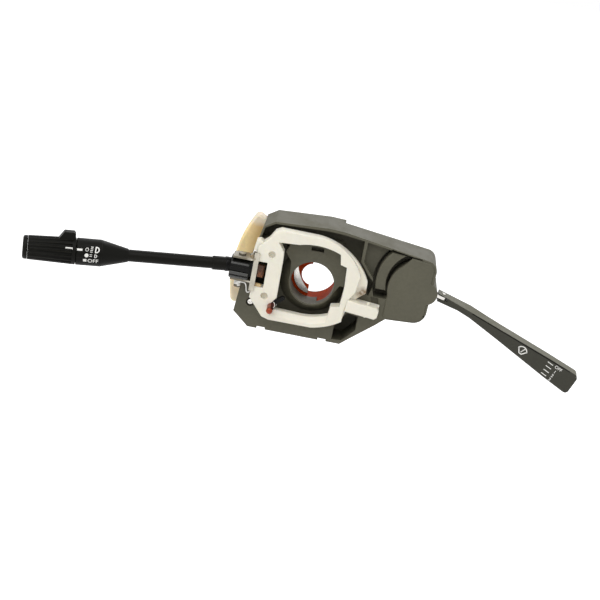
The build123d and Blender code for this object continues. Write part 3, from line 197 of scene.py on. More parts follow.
def split(tree, output):
    """The three parts of an output of the texture coordinates."""
    node = add_node(tree, "ShaderNodeSeparateXYZ")
    tree.links.new(tree.nodes["Place"].outputs[output], node.inputs[0])
    return node.outputs


def over_base(tree, factor, colour):
    """Another colour laid over the shader's present base colour."""
    base = tree.nodes["Principled BSDF"].inputs["Base Color"]
    shade = mix_colour(tree, factor, base.links[0].from_socket, rgba(colour))
    tree.links.new(shade, base)


# ---------------------------------------------------------------- shared effects
SURFACE_OUTPUTS = [
    ("Colour", "NodeSocketColor"), ("Roughness", "NodeSocketFloat"), ("Height", "NodeSocketFloat"),
]


def moulded_surface_group():
    """Mottled colour, cloudy roughness and fine spark-eroded grain of a moulding."""
    tree, into, out = group_tree(
        "Moulded Surface",
        [
            ("Vector", "NodeSocketVector", None),
            ("Colour", "NodeSocketColor", None),
            ("Mottle", "NodeSocketFloat", 0.12),
            ("Smooth", "NodeSocketFloat", 0.4),
            ("Rough", "NodeSocketFloat", 0.6),
            ("Grain Scale", "NodeSocketFloat", 2600.0),
        ],
        SURFACE_OUTPUTS,
    )
    clouds = noise(tree, into.outputs["Vector"], 38.0, detail=5.0)
    specks = noise(tree, into.outputs["Vector"], 420.0, detail=2.0)
    swing = map_range(tree, clouds, 0.3, 0.7, -1.0, 1.0)
    fine = map_range(tree, specks, 0.35, 0.65, -0.35, 0.35)
    scaled = add_node(tree, "ShaderNodeMath", operation="MULTIPLY_ADD")
    tree.links.new(combine(tree, "ADD", swing, fine), scaled.inputs[0])
    tree.links.new(into.outputs["Mottle"], scaled.inputs[1])
    scaled.inputs[2].default_value = 1.0
    brightness = add_node(tree, "ShaderNodeCombineColor")
    for channel in ("Red", "Green", "Blue"):
        tree.links.new(scaled.outputs[0], brightness.inputs[channel])
    shade = mix_colour(tree, 1.0, into.outputs["Colour"], brightness.outputs[0], blend="MULTIPLY")
    tree.links.new(shade, out.inputs["Colour"])
    rough = map_range(tree, clouds, 0.3, 0.7, into.outputs["Smooth"], into.outputs["Rough"])
    tree.links.new(rough, out.inputs["Roughness"])
    grain = noise(tree, into.outputs["Vector"], into.outputs["Grain Scale"], detail=2.0)
    tree.links.new(grain, out.inputs["Height"])
    return tree


def soft_edge_group():
    """Rounded-edge normal and a mask of the rubbed edges."""
    tree, into, out = group_tree(
        "Soft Edge",
        [("Vector", "NodeSocketVector", None), ("Radius", "NodeSocketFloat", 0.0004)],
        [("Mask", "NodeSocketFloat"), ("Normal", "NodeSocketVector")],
    )
    bevel = add_node(tree, "ShaderNodeBevel", samples=6)
    tree.links.new(into.outputs["Radius"], bevel.inputs["Radius"])
    tree.links.new(bevel.outputs["Normal"], out.inputs["Normal"])
    flat = add_node(tree, "ShaderNodeNewGeometry")
    turn = add_node(tree, "ShaderNodeVectorMath", operation="DOT_PRODUCT")
    tree.links.new(bevel.outputs["Normal"], turn.inputs[0])
    tree.links.new(flat.outputs["Normal"], turn.inputs[1])
    edge = map_range(tree, turn.outputs["Value"], 0.99, 0.86, 0.0, 1.0)
    broken = map_range(tree, noise(tree, into.outputs["Vector"], 210.0), 0.42, 0.62, 0.25, 1.0)
    mask = combine(tree, "MULTIPLY", edge, broken, clamp=True)
    tree.links.new(mask, out.inputs["Mask"])
    return tree


def handling_group():
    """Faint smears and dust that dull a glossy face."""
    tree, into, out = group_tree(
        "Handling Marks",
        [
            ("Vector", "NodeSocketVector", None),
            ("Roughness", "NodeSocketFloat", 0.3),
            ("Amount", "NodeSocketFloat", 0.15),
        ],
        [("Roughness", "NodeSocketFloat"), ("Mask", "NodeSocketFloat")],
    )
    drawn_out = stretched(tree, into.outputs["Vector"], (1.0, 0.45, 2.2))
    smear = noise(tree, drawn_out, 95.0, detail=6.0, roughness=0.65)
    mask = map_range(tree, smear, 0.48, 0.7, 0.0, 1.0)
    tree.links.new(mask, out.inputs["Mask"])
    added = add_node(tree, "ShaderNodeMath", operation="MULTIPLY_ADD", use_clamp=True)
    tree.links.new(mask, added.inputs[0])
    tree.links.new(into.outputs["Amount"], added.inputs[1])
    tree.links.new(into.outputs["Roughness"], added.inputs[2])
    tree.links.new(added.outputs[0], out.inputs["Roughness"])
    return tree


def drawn_metal_group():
    """Fine lines along one direction, with cloudy plating."""
    tree, into, out = group_tree(
        "Drawn Metal",
        [
            ("Vector", "NodeSocketVector", None),
            ("Lines", "NodeSocketVector", (40.0, 40.0, 2400.0)),
            ("Colour", "NodeSocketColor", None),
            ("Dull", "NodeSocketColor", None),
            ("Smooth", "NodeSocketFloat", 0.22),
            ("Rough", "NodeSocketFloat", 0.42),
        ],
        SURFACE_OUTPUTS,
    )
    stretch = add_node(tree, "ShaderNodeVectorMath", operation="MULTIPLY")
    tree.links.new(into.outputs["Vector"], stretch.inputs[0])
    tree.links.new(into.outputs["Lines"], stretch.inputs[1])
    lines = noise(tree, stretch.outputs[0], 1.0, detail=3.0)
    clouds = noise(tree, into.outputs["Vector"], 130.0, detail=4.0)
    dulled = map_range(tree, clouds, 0.45, 0.72, 0.0, 0.8)
    colour = mix_colour(tree, dulled, into.outputs["Colour"], into.outputs["Dull"])
    tree.links.new(colour, out.inputs["Colour"])
    rough = map_range(tree, clouds, 0.3, 0.7, into.outputs["Smooth"], into.outputs["Rough"])
    tree.links.new(rough, out.inputs["Roughness"])
    tree.links.new(lines, out.inputs["Height"])
    return tree


EFFECTS = {
    "Moulded Surface": moulded_surface_group,
    "Soft Edge": soft_edge_group,
    "Handling Marks": handling_group,
    "Drawn Metal": drawn_metal_group,
}


def effect(material, name, **values):
    """One shared effect placed in a material and read at object coordinates."""
    tree = material.node_tree
    if name not in bpy.data.node_groups:
        EFFECTS[name]()
    node = add_node(tree, "ShaderNodeGroup", node_tree=bpy.data.node_groups[name])
    tree.links.new(tree.nodes["Place"].outputs["Object"], node.inputs["Vector"])
    for socket, value in values.items():
        node.inputs[socket.replace("_", " ")].default_value = value
    return node


def new_finish(name, **settings):
    """A material with a Principled shader whose plain sockets are set directly."""
    material = bpy.data.materials.new(name)
    material.use_nodes = True
    tree = material.node_tree
    shader = tree.nodes["Principled BSDF"]
    for socket, value in settings.items():
        shader.inputs[socket.replace("_", " ")].default_value = value
    add_node(tree, "ShaderNodeTexCoord", name="Place")
    return material, tree, shader


def rgba(colour):
    """A colour swatch with full opacity."""
    return (colour[0], colour[1], colour[2], 1.0)


def bumped(tree, height, normal, shader, distance, strength=0.6):
    """Height over a soft-edge normal, into the shader."""
    bump = add_node(tree, "ShaderNodeBump")
    bump.inputs["Distance"].default_value = distance
    bump.inputs["Strength"].default_value = strength
    tree.links.new(height, bump.inputs["Height"])
    tree.links.new(normal, bump.inputs["Normal"])
    tree.links.new(bump.outputs["Normal"], shader.inputs["Normal"])


# ---------------------------------------------------------------- finishes
def moulded_finish(name, colour, worn, mottle, smooth, rough, edge, grain, **settings):
    """Moulded plastic with grain, soft edges and handling marks."""
    material, tree, shader = new_finish(name, **settings)
    surface = effect(
        material, "Moulded Surface", Colour=rgba(colour), Mottle=mottle, Smooth=smooth, Rough=rough
    )
    edges = effect(material, "Soft Edge", Radius=edge)
    shade = mix_colour(tree, edges.outputs["Mask"], surface.outputs["Colour"], rgba(worn))
    tree.links.new(shade, shader.inputs["Base Color"])
    marks = effect(material, "Handling Marks", Amount=0.12)
    tree.links.new(surface.outputs["Roughness"], marks.inputs["Roughness"])
    tree.links.new(marks.outputs["Roughness"], shader.inputs["Roughness"])
    bumped(tree, surface.outputs["Height"], edges.outputs["Normal"], shader, grain)
    return material


def metal_finish(name, colour, dull, lines, smooth, rough, edge):
    """Plated or drawn metal."""
    material, tree, shader = new_finish(name, Metallic=1.0)
    surface = effect(
        material, "Drawn Metal", Colour=rgba(colour), Dull=rgba(dull), Lines=lines,
        Smooth=smooth, Rough=rough,
    )
    edges = effect(material, "Soft Edge", Radius=edge)
    tree.links.new(surface.outputs["Colour"], shader.inputs["Base Color"])
    tree.links.new(surface.outputs["Roughness"], shader.inputs["Roughness"])
    bumped(tree, surface.outputs["Height"], edges.outputs["Normal"], shader, 0.00001, strength=0.35)
    return material


def brightened(colour, share):
    """The same colour at a share of its brightness, darker below one."""
    return tuple(share * channel for channel in colour)


def housing_finish(colours):
    """Warm dark grey case, matt, with lighter rubbed edges."""
    return moulded_finish(
        "Housing Plastic", colours.housing, brightened(colours.housing, 1.7),
        mottle=0.10, smooth=0.50, rough=0.66, edge=0.0005, grain=0.00002, Specular_IOR_Level=0.28,
    )


def lever_finish(colours):
    """Satin black grip plastic."""
    return moulded_finish(
        "Lever Plastic", colours.lever, brightened(colours.lever, 8.0),
        mottle=0.16, smooth=0.34, rough=0.48, edge=0.0004, grain=0.000012, Specular_IOR_Level=0.09,
    )


def wiper_lever_finish(colours):
    """Dark grey lever with a soft sheen; its upward faces are mixed lighter, painted sheen and dust
    on the upper bevel.
    """
    material = moulded_finish(
        "Wiper Lever Plastic", colours.wiper_lever, brightened(colours.wiper_lever, 2.2),
        mottle=0.12, smooth=0.36, rough=0.52, edge=0.0006, grain=0.000015, Specular_IOR_Level=0.26,
    )
    tree = material.node_tree
    # painted sheen and dust: faces that look up are mixed towards a lighter grey
    dust_and_sheen = map_range(tree, split(tree, "Normal")["Z"], 0.15, 0.5, 0.0, 1.0)
    over_base(tree, dust_and_sheen, brightened(colours.wiper_lever, 3.6))
    return material


def knuckle_finish(colours):
    """Glossy black nylon."""
    return moulded_finish(
        "Knuckle Plastic", colours.knuckle, brightened(colours.knuckle, 9.0),
        mottle=0.2, smooth=0.16, rough=0.26, edge=0.0007, grain=0.00001, Specular_IOR_Level=0.14,
    )


def rib_finish(colours):
    """Glossier skin on the raised ribs, which catch the light; their base colour, five times the
    knuckle's, is a painted highlight.
    """
    # painted highlight: the ribs take a lighter copy of the knuckle's colour
    return moulded_finish(
        "Knuckle Ribs", brightened(colours.knuckle, 5.0), brightened(colours.knuckle, 24.0),
        mottle=0.2, smooth=0.22, rough=0.34, edge=0.0006, grain=0.00001,
        Coat_Weight=0.5, Coat_Roughness=0.22,
    )


def rod_finish(colours):
    """Satin paint over steel, thin at the edges."""
    return moulded_finish(
        "Rod Paint", colours.rod, brightened(colours.rod, 6.0),
        mottle=0.1, smooth=0.30, rough=0.42, edge=0.0003, grain=0.000006, Specular_IOR_Level=0.10,
    )


BROWN_PATCH_PLACE = (0.0425, 0.0, 0.0012)
BROWN_PATCH = (0.20, 0.125, 0.055)
BROWN_PATCH_OUTER = 0.0072
BROWN_PATCH_INNER = 0.0026


def white_nylon_finish(colours):
    """Natural nylon that lets a little light through, browner beside the detent block."""
    material = moulded_finish(
        "White Nylon", colours.white_nylon, colours.white_nylon,
        mottle=0.035, smooth=0.36, rough=0.52, edge=0.0008, grain=0.000008,
        Subsurface_Weight=0.22, Subsurface_Scale=0.004, Subsurface_Radius=(1.0, 0.75, 0.45),
    )
    tree = material.node_tree
    place = tree.nodes["Place"].outputs["Object"]
    # a broken brown patch is mixed over the colour beside the detent block
    away = add_node(tree, "ShaderNodeVectorMath", operation="DISTANCE")
    tree.links.new(stretched(tree, place, (1.0, 0.0, 1.0)), away.inputs[0])
    away.inputs[1].default_value = BROWN_PATCH_PLACE
    near = map_range(tree, away.outputs["Value"], BROWN_PATCH_OUTER, BROWN_PATCH_INNER, 0.0, 0.95)
    broken = map_range(tree, noise(tree, place, 330.0), 0.4, 0.6, 0.5, 1.0)
    over_base(tree, combine(tree, "MULTIPLY", near, broken, clamp=True), BROWN_PATCH)
    return material


DEEP_AMBER = (0.52, 0.30, 0.06)
CREAM = (0.80, 0.72, 0.57)


def amber_nylon_finish(colours):
    """Aged nylon: deep amber beside the case, cream towards its upper and lower ends."""
    material = moulded_finish(
        "Amber Nylon", colours.amber_nylon, colours.amber_nylon,
        mottle=0.12, smooth=0.34, rough=0.5, edge=0.001, grain=0.00001,
        Subsurface_Weight=0.25, Subsurface_Scale=0.005, Subsurface_Radius=(1.0, 0.6, 0.25),
    )
    tree = material.node_tree
    place = split(tree, "Object")
    upper = map_range(tree, place["Z"], 0.030, 0.036, 0.0, 0.9)
    lower = map_range(tree, place["Z"], 0.004, -0.034, 0.15, 0.8)
    near_case = map_range(tree, place["X"], -0.060, -0.050, 0.0, 0.9)
    over_base(tree, near_case, DEEP_AMBER)
    over_base(tree, combine(tree, "MAXIMUM", upper, lower), CREAM)
    return material


def orange_finish(colours):
    """Matt orange sleeve."""
    return moulded_finish(
        "Orange Plastic", colours.orange, colours.orange,
        mottle=0.35, smooth=0.45, rough=0.6, edge=0.0006, grain=0.000004, Specular_IOR_Level=0.02,
    )


STREAK = (0.26, 0.085, 0.022)


def laminate_finish(colours):
    """Dark brown with redder streaks towards its foot."""
    material = moulded_finish(
        "Brown Laminate", colours.laminate, brightened(colours.laminate, 3.0),
        mottle=0.45, smooth=0.16, rough=0.34, edge=0.0005, grain=0.000015, Specular_IOR_Level=0.3,
    )
    tree = material.node_tree
    low = map_range(tree, split(tree, "Object")["Z"], 0.009, -0.001, 0.0, 1.0)
    upright = stretched(tree, tree.nodes["Place"].outputs["Object"], (1.0, 1.0, 0.35))
    streaks = map_range(tree, noise(tree, upright, 620.0), 0.45, 0.6, 0.0, 1.0)
    over_base(tree, combine(tree, "MULTIPLY", low, streaks, clamp=True), STREAK)
    return material


def print_finish(colours):
    """White pad-printed ink."""
    return moulded_finish(
        "Printed White", colours.print_ink, colours.print_ink,
        mottle=0.06, smooth=0.45, rough=0.6, edge=0.00005, grain=0.000003,
    )


# painted shade over the bracket's zinc
ZINC_PAINTED_SHADE = (0.13, 0.115, 0.085)


def plated_steel_finish(colours):
    """Bright zinc plate."""
    return metal_finish(
        "Plated Steel", colours.steel, brightened(colours.steel, 0.62),
        lines=(60.0, 60.0, 1800.0), smooth=0.20, rough=0.38, edge=0.0003,
    )


def shaded_zinc_finish(colours):
    """Zinc plate with painted shade that darkens it towards its left end."""
    material = metal_finish(
        "Smoked Zinc", colours.smoked, brightened(colours.smoked, 0.7),
        lines=(60.0, 60.0, 1800.0), smooth=0.26, rough=0.44, edge=0.0004,
    )
    tree = material.node_tree
    # painted shade: the plate is mixed towards a dark colour towards its left end
    left = map_range(tree, split(tree, "Object")["X"], -0.0515, -0.056, 0.0, 0.9)
    over_base(tree, left, ZINC_PAINTED_SHADE)
    return material


def spring_steel_finish(colours):
    """Drawn spring wire and blued sheet."""
    return metal_finish(
        "Spring Steel", colours.spring, brightened(colours.spring, 0.45),
        lines=(900.0, 900.0, 900.0), smooth=0.24, rough=0.40, edge=0.0001,
    )


def copper_finish(colours):
    """Dull red copper."""
    return metal_finish(
        "Dull Copper", colours.copper, brightened(colours.copper, 0.5),
        lines=(700.0, 60.0, 700.0), smooth=0.30, rough=0.50, edge=0.0003,
    )


def brass_finish(colours):
    """Bright contact brass."""
    return metal_finish(
        "Contact Brass", colours.brass, brightened(colours.brass, 0.55),
        lines=(900.0, 100.0, 900.0), smooth=0.22, rough=0.36, edge=0.0002,
    )


FINISHES = {
    "housing_plastic": housing_finish,
    "lever_plastic": lever_finish,
    "knuckle_plastic": knuckle_finish,
    "wiper_lever_plastic": wiper_lever_finish,
    "rod_paint": rod_finish,
    "white_nylon": white_nylon_finish,
    "amber_nylon": amber_nylon_finish,
    "orange_plastic": orange_finish,
    "plated_steel": plated_steel_finish,
    "spring_steel": spring_steel_finish,
    "copper": copper_finish,
    "contact_brass": brass_finish,
    "phenolic": laminate_finish,
}


NODE_FINISHES = {
    "lever_bracket": shaded_zinc_finish, "lever_hinge_pin": shaded_zinc_finish,
    "cancel_pawl": knuckle_finish,
}


class STALK_OT_finishes(bpy.types.Operator):
    """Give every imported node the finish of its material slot"""

    bl_idname = "stalk.finishes"
    bl_label = "Finishes"

    def execute(self, context):
        colours = context.scene.stalk_colours
        made = {slot: finish(colours) for slot, finish in FINISHES.items()}
        for subpart in frame["record"]["subparts"]:
            node = frame["nodes"][subpart["node"]]
            node.data.materials.clear()
            node.data.materials.append(made[subpart["material_slot"]])
        for name, finish in NODE_FINISHES.items():
            frame["nodes"][name].data.materials.clear()
            frame["nodes"][name].data.materials.append(finish(colours))
        rib_finish(colours)
        print_finish(colours)
        return {"FINISHED"}


# ---------------------------------------------------------------- pieces
def settle(piece, name, body, finish):
    """Name a finished piece, give it its finish and let it ride on its body."""
    piece.name = name
    piece.data.name = name
    piece.data.materials.clear()
    piece.data.materials.append(bpy.data.materials[finish])
    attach(piece, body)
    return piece


def join(pieces):
    """Several meshes made one."""
    bpy.ops.object.select_all(action="DESELECT")
    for piece in pieces:
        piece.select_set(True)
    bpy.context.view_layer.objects.active = pieces[0]
    if len(pieces) > 1:
        bpy.ops.object.join()
    return pieces[0]


def outward(piece):
    """Merge doubled points and turn every face outwards."""
    bpy.ops.object.select_all(action="DESELECT")
    piece.select_set(True)
    bpy.context.view_layer.objects.active = piece
    bpy.ops.object.mode_set(mode="EDIT")
    bpy.ops.mesh.select_all(action="SELECT")
    bpy.ops.mesh.remove_doubles(threshold=0.000002)
    bpy.ops.mesh.normals_make_consistent(inside=False)
    bpy.ops.object.mode_set(mode="OBJECT")


# springs ---------------------------------------------------------
SPRING_STEPS = 20


def coil_points(centre, across, up, ring, pitch, turns):
    """Points of a close coil from the front of its ring; across and up span the ring's plane."""
    axis = across.cross(up)
    count = int(turns * SPRING_STEPS)
    points = []
    for step in range(count + 1):
        angle = -pi / 2 - 2 * pi * step / SPRING_STEPS
        place = across * (ring * cos(angle)) + up * (ring * sin(angle))
        points.append(centre + place - axis * (pitch * step / SPRING_STEPS))
    return points


def bent_wire(points, radius):
    """Round wire along a smooth line, closed at both ends; points in millimetres."""
    bpy.ops.object.select_all(action="DESELECT")
    bpy.ops.curve.primitive_nurbs_path_add()
    piece = bpy.context.active_object
    line = piece.data.splines[0]
    line.points.add(len(points) - len(line.points))
    for point, place in zip(line.points, points):
        point.co = (*(Vector(place) * MM), 1.0)
    line.use_endpoint_u = True
    line.order_u = 3
    line.resolution_u = 2
    piece.data.bevel_depth = radius * MM
    piece.data.bevel_resolution = 2
    piece.data.use_fill_caps = True
    bpy.ops.object.convert(target="MESH")
    bpy.ops.object.shade_smooth()
    return piece


WEB_FRONT = -53.7
UPPER_HOOK = (
    (-53.6, -51.4, 16.6), (-52.6, -52.6, 17.8), (-51.4, -53.4, 19.2), (-51.3, WEB_FRONT, 20.8),
    (-50.9, WEB_FRONT, 21.7), (-49.9, WEB_FRONT, 22.0), (-49.1, WEB_FRONT, 21.4),
    (-49.0, WEB_FRONT, 21.1),
)
LOWER_LEG = (
    (-51.5, WEB_FRONT, -13.9), (-51.9, WEB_FRONT, -12.6), (-52.2, WEB_FRONT, -10.4),
    (-53.2, WEB_FRONT, -7.4), (-54.6, WEB_FRONT, -6.6), (-57.4, WEB_FRONT, -6.6),
)
HINGE_COIL_CENTRE = (-60.0, -51.0, -6.6)
HINGE_COIL_RING = 2.7
HINGE_COIL_PITCH = 1.2
HINGE_COIL_TURNS = 3.0
HINGE_WIRE = 0.58
HOOK_WIRE = 0.55
PAWL_COIL_PITCH = 1.0
PAWL_COIL_INSET = 0.5
PAWL_WIRE = 0.48
LOWER_HOOK = ((-48.7, WEB_FRONT, -12.8), (-49.4, WEB_FRONT, -14.0), (-50.6, WEB_FRONT, -14.5))


class STALK_OT_springs(bpy.types.Operator):
    """Round wire springs with their hooks, in place of the plain close turns"""

    bl_idname = "stalk.springs"
    bl_label = "Springs"

    def execute(self, context):
        coil = coil_points(
            Vector(HINGE_COIL_CENTRE), Vector((1, 0, 0)), Vector((0, 1, 0)),
            HINGE_COIL_RING, HINGE_COIL_PITCH, HINGE_COIL_TURNS,
        )
        lower = bent_wire([*LOWER_HOOK, *LOWER_LEG, *coil], HINGE_WIRE)
        upper = bent_wire(UPPER_HOOK, HOOK_WIRE)
        spring = join([lower, upper])
        outward(spring)
        settle(spring, "hinge_spring", "turn_yoke", "Spring Steel")
        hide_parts("return_spring")
        low, high = (Vector(corner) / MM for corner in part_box("pawl_spring"))
        middle = (low + high) / 2
        ring = (high.x - low.x) / 2 - PAWL_COIL_INSET
        centre = Vector((middle.x, low.y + PAWL_COIL_INSET, middle.z))
        turns = max((high.y - low.y - 2 * PAWL_COIL_INSET) / PAWL_COIL_PITCH, 1.0)
        coil = coil_points(
            centre, Vector((1, 0, 0)), Vector((0, 0, 1)), ring, PAWL_COIL_PITCH, turns
        )
        small = bent_wire(coil, PAWL_WIRE)
        outward(small)
        settle(small, "pawl_coil", "turn_yoke", "Spring Steel")
        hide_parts("pawl_spring")
        return {"FINISHED"}


# knuckle ---------------------------------------------------------
RIBS = ((-60.4, 1.4, 15.6, 2.8), (-60.4, -2.0, 15.0, 1.6), (-60.4, 9.8, 15.0, 1.8))
RIB_FRONT = 59.55
RIB_DEPTH = 1.5
RIB_ROUNDING = 0.75


class STALK_OT_ribs(bpy.types.Operator):
    """Rounded ribs across the front of the knuckle"""

    bl_idname = "stalk.ribs"
    bl_label = "Knuckle ribs"

    def execute(self, context):
        bars = []
        for x, z, length, height in RIBS:
            bpy.ops.object.select_all(action="DESELECT")
            bpy.ops.mesh.primitive_cube_add(size=1.0)
            bar = context.active_object
            bar.scale = (length * MM, RIB_DEPTH * MM, height * MM)
            bar.location = (x * MM, (RIB_DEPTH / 2 - RIB_FRONT) * MM, z * MM)
            bpy.ops.object.transform_apply(location=True, rotation=True, scale=True)
            bpy.ops.object.mode_set(mode="EDIT")
            bpy.ops.mesh.select_all(action="SELECT")
            bpy.ops.mesh.bevel(offset=RIB_ROUNDING * MM, segments=4, affect="EDGES")
            bpy.ops.object.mode_set(mode="OBJECT")
            bpy.ops.object.shade_smooth()
            bars.append(bar)
        ribs = join(bars)
        settle(ribs, "knuckle_ribs", "turn_lever", "Knuckle Ribs")
        return {"FINISHED"}


# rod socket ------------------------------------------------------
STALK_ORIGIN = Vector((-60.0, -51.0, 6.65))
STALK_DIRECTION = Vector((-1.0, -0.2126, -0.0489)).normalized()
SOCKET_START = 5.6
SOCKET_END = 12.9
SOCKET_RADII = (5.6, 6.25)
SOCKET_ROUNDING = 0.5


class STALK_OT_socket(bpy.types.Operator):
    """Tapered socket that carries the rod's root into the knuckle"""

    bl_idname = "stalk.socket"
    bl_label = "Rod socket"

    def execute(self, context):
        bpy.ops.object.select_all(action="DESELECT")
        bpy.ops.mesh.primitive_cone_add(
            vertices=48, radius1=SOCKET_RADII[0] * MM, radius2=SOCKET_RADII[1] * MM,
            depth=(SOCKET_END - SOCKET_START) * MM,
        )
        socket = context.active_object
        bpy.ops.object.mode_set(mode="EDIT")
        bpy.ops.mesh.select_all(action="SELECT")
        bpy.ops.mesh.bevel(offset=SOCKET_ROUNDING * MM, segments=3, affect="EDGES")
        bpy.ops.object.mode_set(mode="OBJECT")
        bpy.ops.object.shade_smooth_by_angle(angle=radians(35))
        middle = STALK_ORIGIN + STALK_DIRECTION * ((SOCKET_START + SOCKET_END) / 2)
        socket.rotation_euler = STALK_DIRECTION.to_track_quat("Z", "Y").to_euler()
        socket.location = middle * MM
        bpy.ops.object.transform_apply(location=True, rotation=True, scale=True)
        outward(socket)
        settle(socket, "rod_socket", "turn_lever", "Knuckle Plastic")
        return {"FINISHED"}


# grease ----------------------------------------------------------
SLOT_GREASE = (-43.6, -51.0, -7.3)
GREASE_SIZE = (3.1, 2.2, 1.5)
LUMP_WIDTH = 1.6
LUMP_HEIGHT = 0.9


class STALK_OT_grease(bpy.types.Operator):
    """Amber grease at the foot of the yoke's slot"""

    bl_idname = "stalk.grease"
    bl_label = "Slot grease"

    def execute(self, context):
        bpy.ops.object.select_all(action="DESELECT")
        bpy.ops.mesh.primitive_ico_sphere_add(subdivisions=4, radius=1.0)
        lump = context.active_object
        lump.scale = [MM * size for size in GREASE_SIZE]
        lump.location = [MM * place for place in SLOT_GREASE]
        bpy.ops.object.transform_apply(location=True, rotation=True, scale=True)
        texture = bpy.data.textures.new("Lumps", "CLOUDS")
        texture.noise_scale = LUMP_WIDTH * MM
        uneven = lump.modifiers.new("Uneven", "DISPLACE")
        uneven.texture = texture
        uneven.strength = LUMP_HEIGHT * MM
        bpy.ops.object.modifier_apply(modifier=uneven.name)
        bpy.ops.object.shade_smooth()
        settle(lump, "slot_grease", "turn_yoke", "Amber Nylon")
        return {"FINISHED"}


# printed marks ---------------------------------------------------
def flat_bar():
    """A unit square, cut fine enough to lie on a round grip."""
    bpy.ops.mesh.primitive_plane_add(size=1.0)
    bpy.ops.object.mode_set(mode="EDIT")
    bpy.ops.mesh.subdivide(number_cuts=6)
    bpy.ops.object.mode_set(mode="OBJECT")
    return bpy.context.active_object


def flat_disc():
    """A unit disc."""
    bpy.ops.mesh.primitive_circle_add(vertices=24, radius=0.5, fill_type="TRIFAN")
    bpy.ops.object.mode_set(mode="EDIT")
    bpy.ops.mesh.subdivide(number_cuts=2)
    bpy.ops.object.mode_set(mode="OBJECT")
    return bpy.context.active_object


def flat_ring(inner=0.72):
    """A unit ring with a share of its radius open."""
    bpy.ops.mesh.primitive_circle_add(vertices=32, radius=0.5)
    bpy.ops.object.mode_set(mode="EDIT")
    bpy.ops.mesh.extrude_edges_move()
    bpy.ops.transform.resize(value=(inner, inner, 1.0))
    bpy.ops.object.mode_set(mode="OBJECT")
    return bpy.context.active_object


def cut(piece, place, normal):
    """Keep the part of a flat mark on the far side of a line."""
    bpy.ops.object.mode_set(mode="EDIT")
    bpy.ops.mesh.select_all(action="SELECT")
    bpy.ops.mesh.bisect(plane_co=place, plane_no=normal, clear_inner=True)
    bpy.ops.object.mode_set(mode="OBJECT")
    return piece


def flat_lamp():
    """Outline of a lamp: a half ring closed by a bar."""
    bow = cut(flat_ring(0.66), (-0.06, 0.0, 0.0), (1.0, 0.0, 0.0))
    bpy.ops.object.select_all(action="DESELECT")
    back = flat_bar()
    back.scale = (0.16, 1.0, 1.0)
    back.location = (-0.06, 0.0, 0.0)
    bpy.ops.object.transform_apply(location=True, rotation=True, scale=True)
    return join([bow, back])


def flat_fan():
    """Outline of a wiped screen: an arc, its lower edge and a blade."""
    arc = cut(flat_ring(0.8), (0.0, 0.06, 0.0), (0.0, 1.0, 0.0))
    parts = [arc]
    for width, height, x, y, turn in (
        (0.10, 0.62, -0.30, -0.08, radians(32)), (0.10, 0.62, 0.30, -0.08, radians(-32)),
        (0.34, 0.10, 0.0, -0.36, 0.0), (0.08, 0.62, 0.06, 0.10, radians(-18)),
    ):
        bpy.ops.object.select_all(action="DESELECT")
        bar = flat_bar()
        bar.scale = (width, height, 1.0)
        bar.rotation_euler = (0.0, 0.0, turn)
        bar.location = (x, y, 0.0)
        bpy.ops.object.transform_apply(location=True, rotation=True, scale=True)
        parts.append(bar)
    return join(parts)


LETTER_SIZE = 1.38
LETTER_WEIGHT = 0.012


def flat_words(words):
    """Letters or digits about one unit high."""
    bpy.ops.object.text_add()
    text = bpy.context.active_object
    text.data.body = words
    text.data.align_x = "CENTER"
    text.data.align_y = "CENTER"
    text.data.size = LETTER_SIZE
    text.data.offset = LETTER_WEIGHT
    bpy.ops.object.convert(target="MESH")
    bpy.ops.object.mode_set(mode="EDIT")
    bpy.ops.mesh.select_all(action="SELECT")
    bpy.ops.mesh.subdivide(number_cuts=2)
    bpy.ops.object.mode_set(mode="OBJECT")
    return bpy.context.active_object


SHAPES = {
    "bar": flat_bar, "disc": flat_disc, "ring": flat_ring, "lamp": flat_lamp, "fan": flat_fan,
}
PRINT_LEVEL = 130.0
INK_LIFT = 0.07
INK_THICKNESS = 0.05
MISS_MARGIN = 1.0


def laid(shape, x, z, width, height, turn):
    """One flat mark that faces the driver at its place."""
    bpy.ops.object.select_all(action="DESELECT")
    mark = SHAPES[shape]() if shape in SHAPES else flat_words(shape)
    mark.scale = (width * MM, height * MM, 1.0)
    mark.rotation_euler = (pi / 2, turn, 0.0)
    mark.location = (x * MM, -PRINT_LEVEL * MM, z * MM)
    bpy.ops.object.transform_apply(location=True, rotation=True, scale=True)
    return mark


def pressed_on(mark, target, lift, thickness):
    """Carry a flat mark straight back onto a surface and give it a little body."""
    bpy.ops.object.select_all(action="DESELECT")
    mark.select_set(True)
    bpy.context.view_layer.objects.active = mark
    wrap = mark.modifiers.new("Wrap", "SHRINKWRAP")
    wrap.target = target
    wrap.wrap_method = "PROJECT"
    wrap.use_project_y = True
    wrap.use_positive_direction = True
    wrap.use_negative_direction = False
    wrap.offset = lift * MM
    bpy.ops.object.modifier_apply(modifier=wrap.name)
    body = mark.modifiers.new("Body", "SOLIDIFY")
    body.thickness = thickness * MM
    body.offset = 0.0
    bpy.ops.object.modifier_apply(modifier=body.name)
    lowest = min(vertex.co.y for vertex in mark.data.vertices)
    if lowest < cad_low[1] - MISS_MARGIN * MM:
        raise RuntimeError(f"a mark on {target.name} misses its surface")
    outward(mark)
    return mark


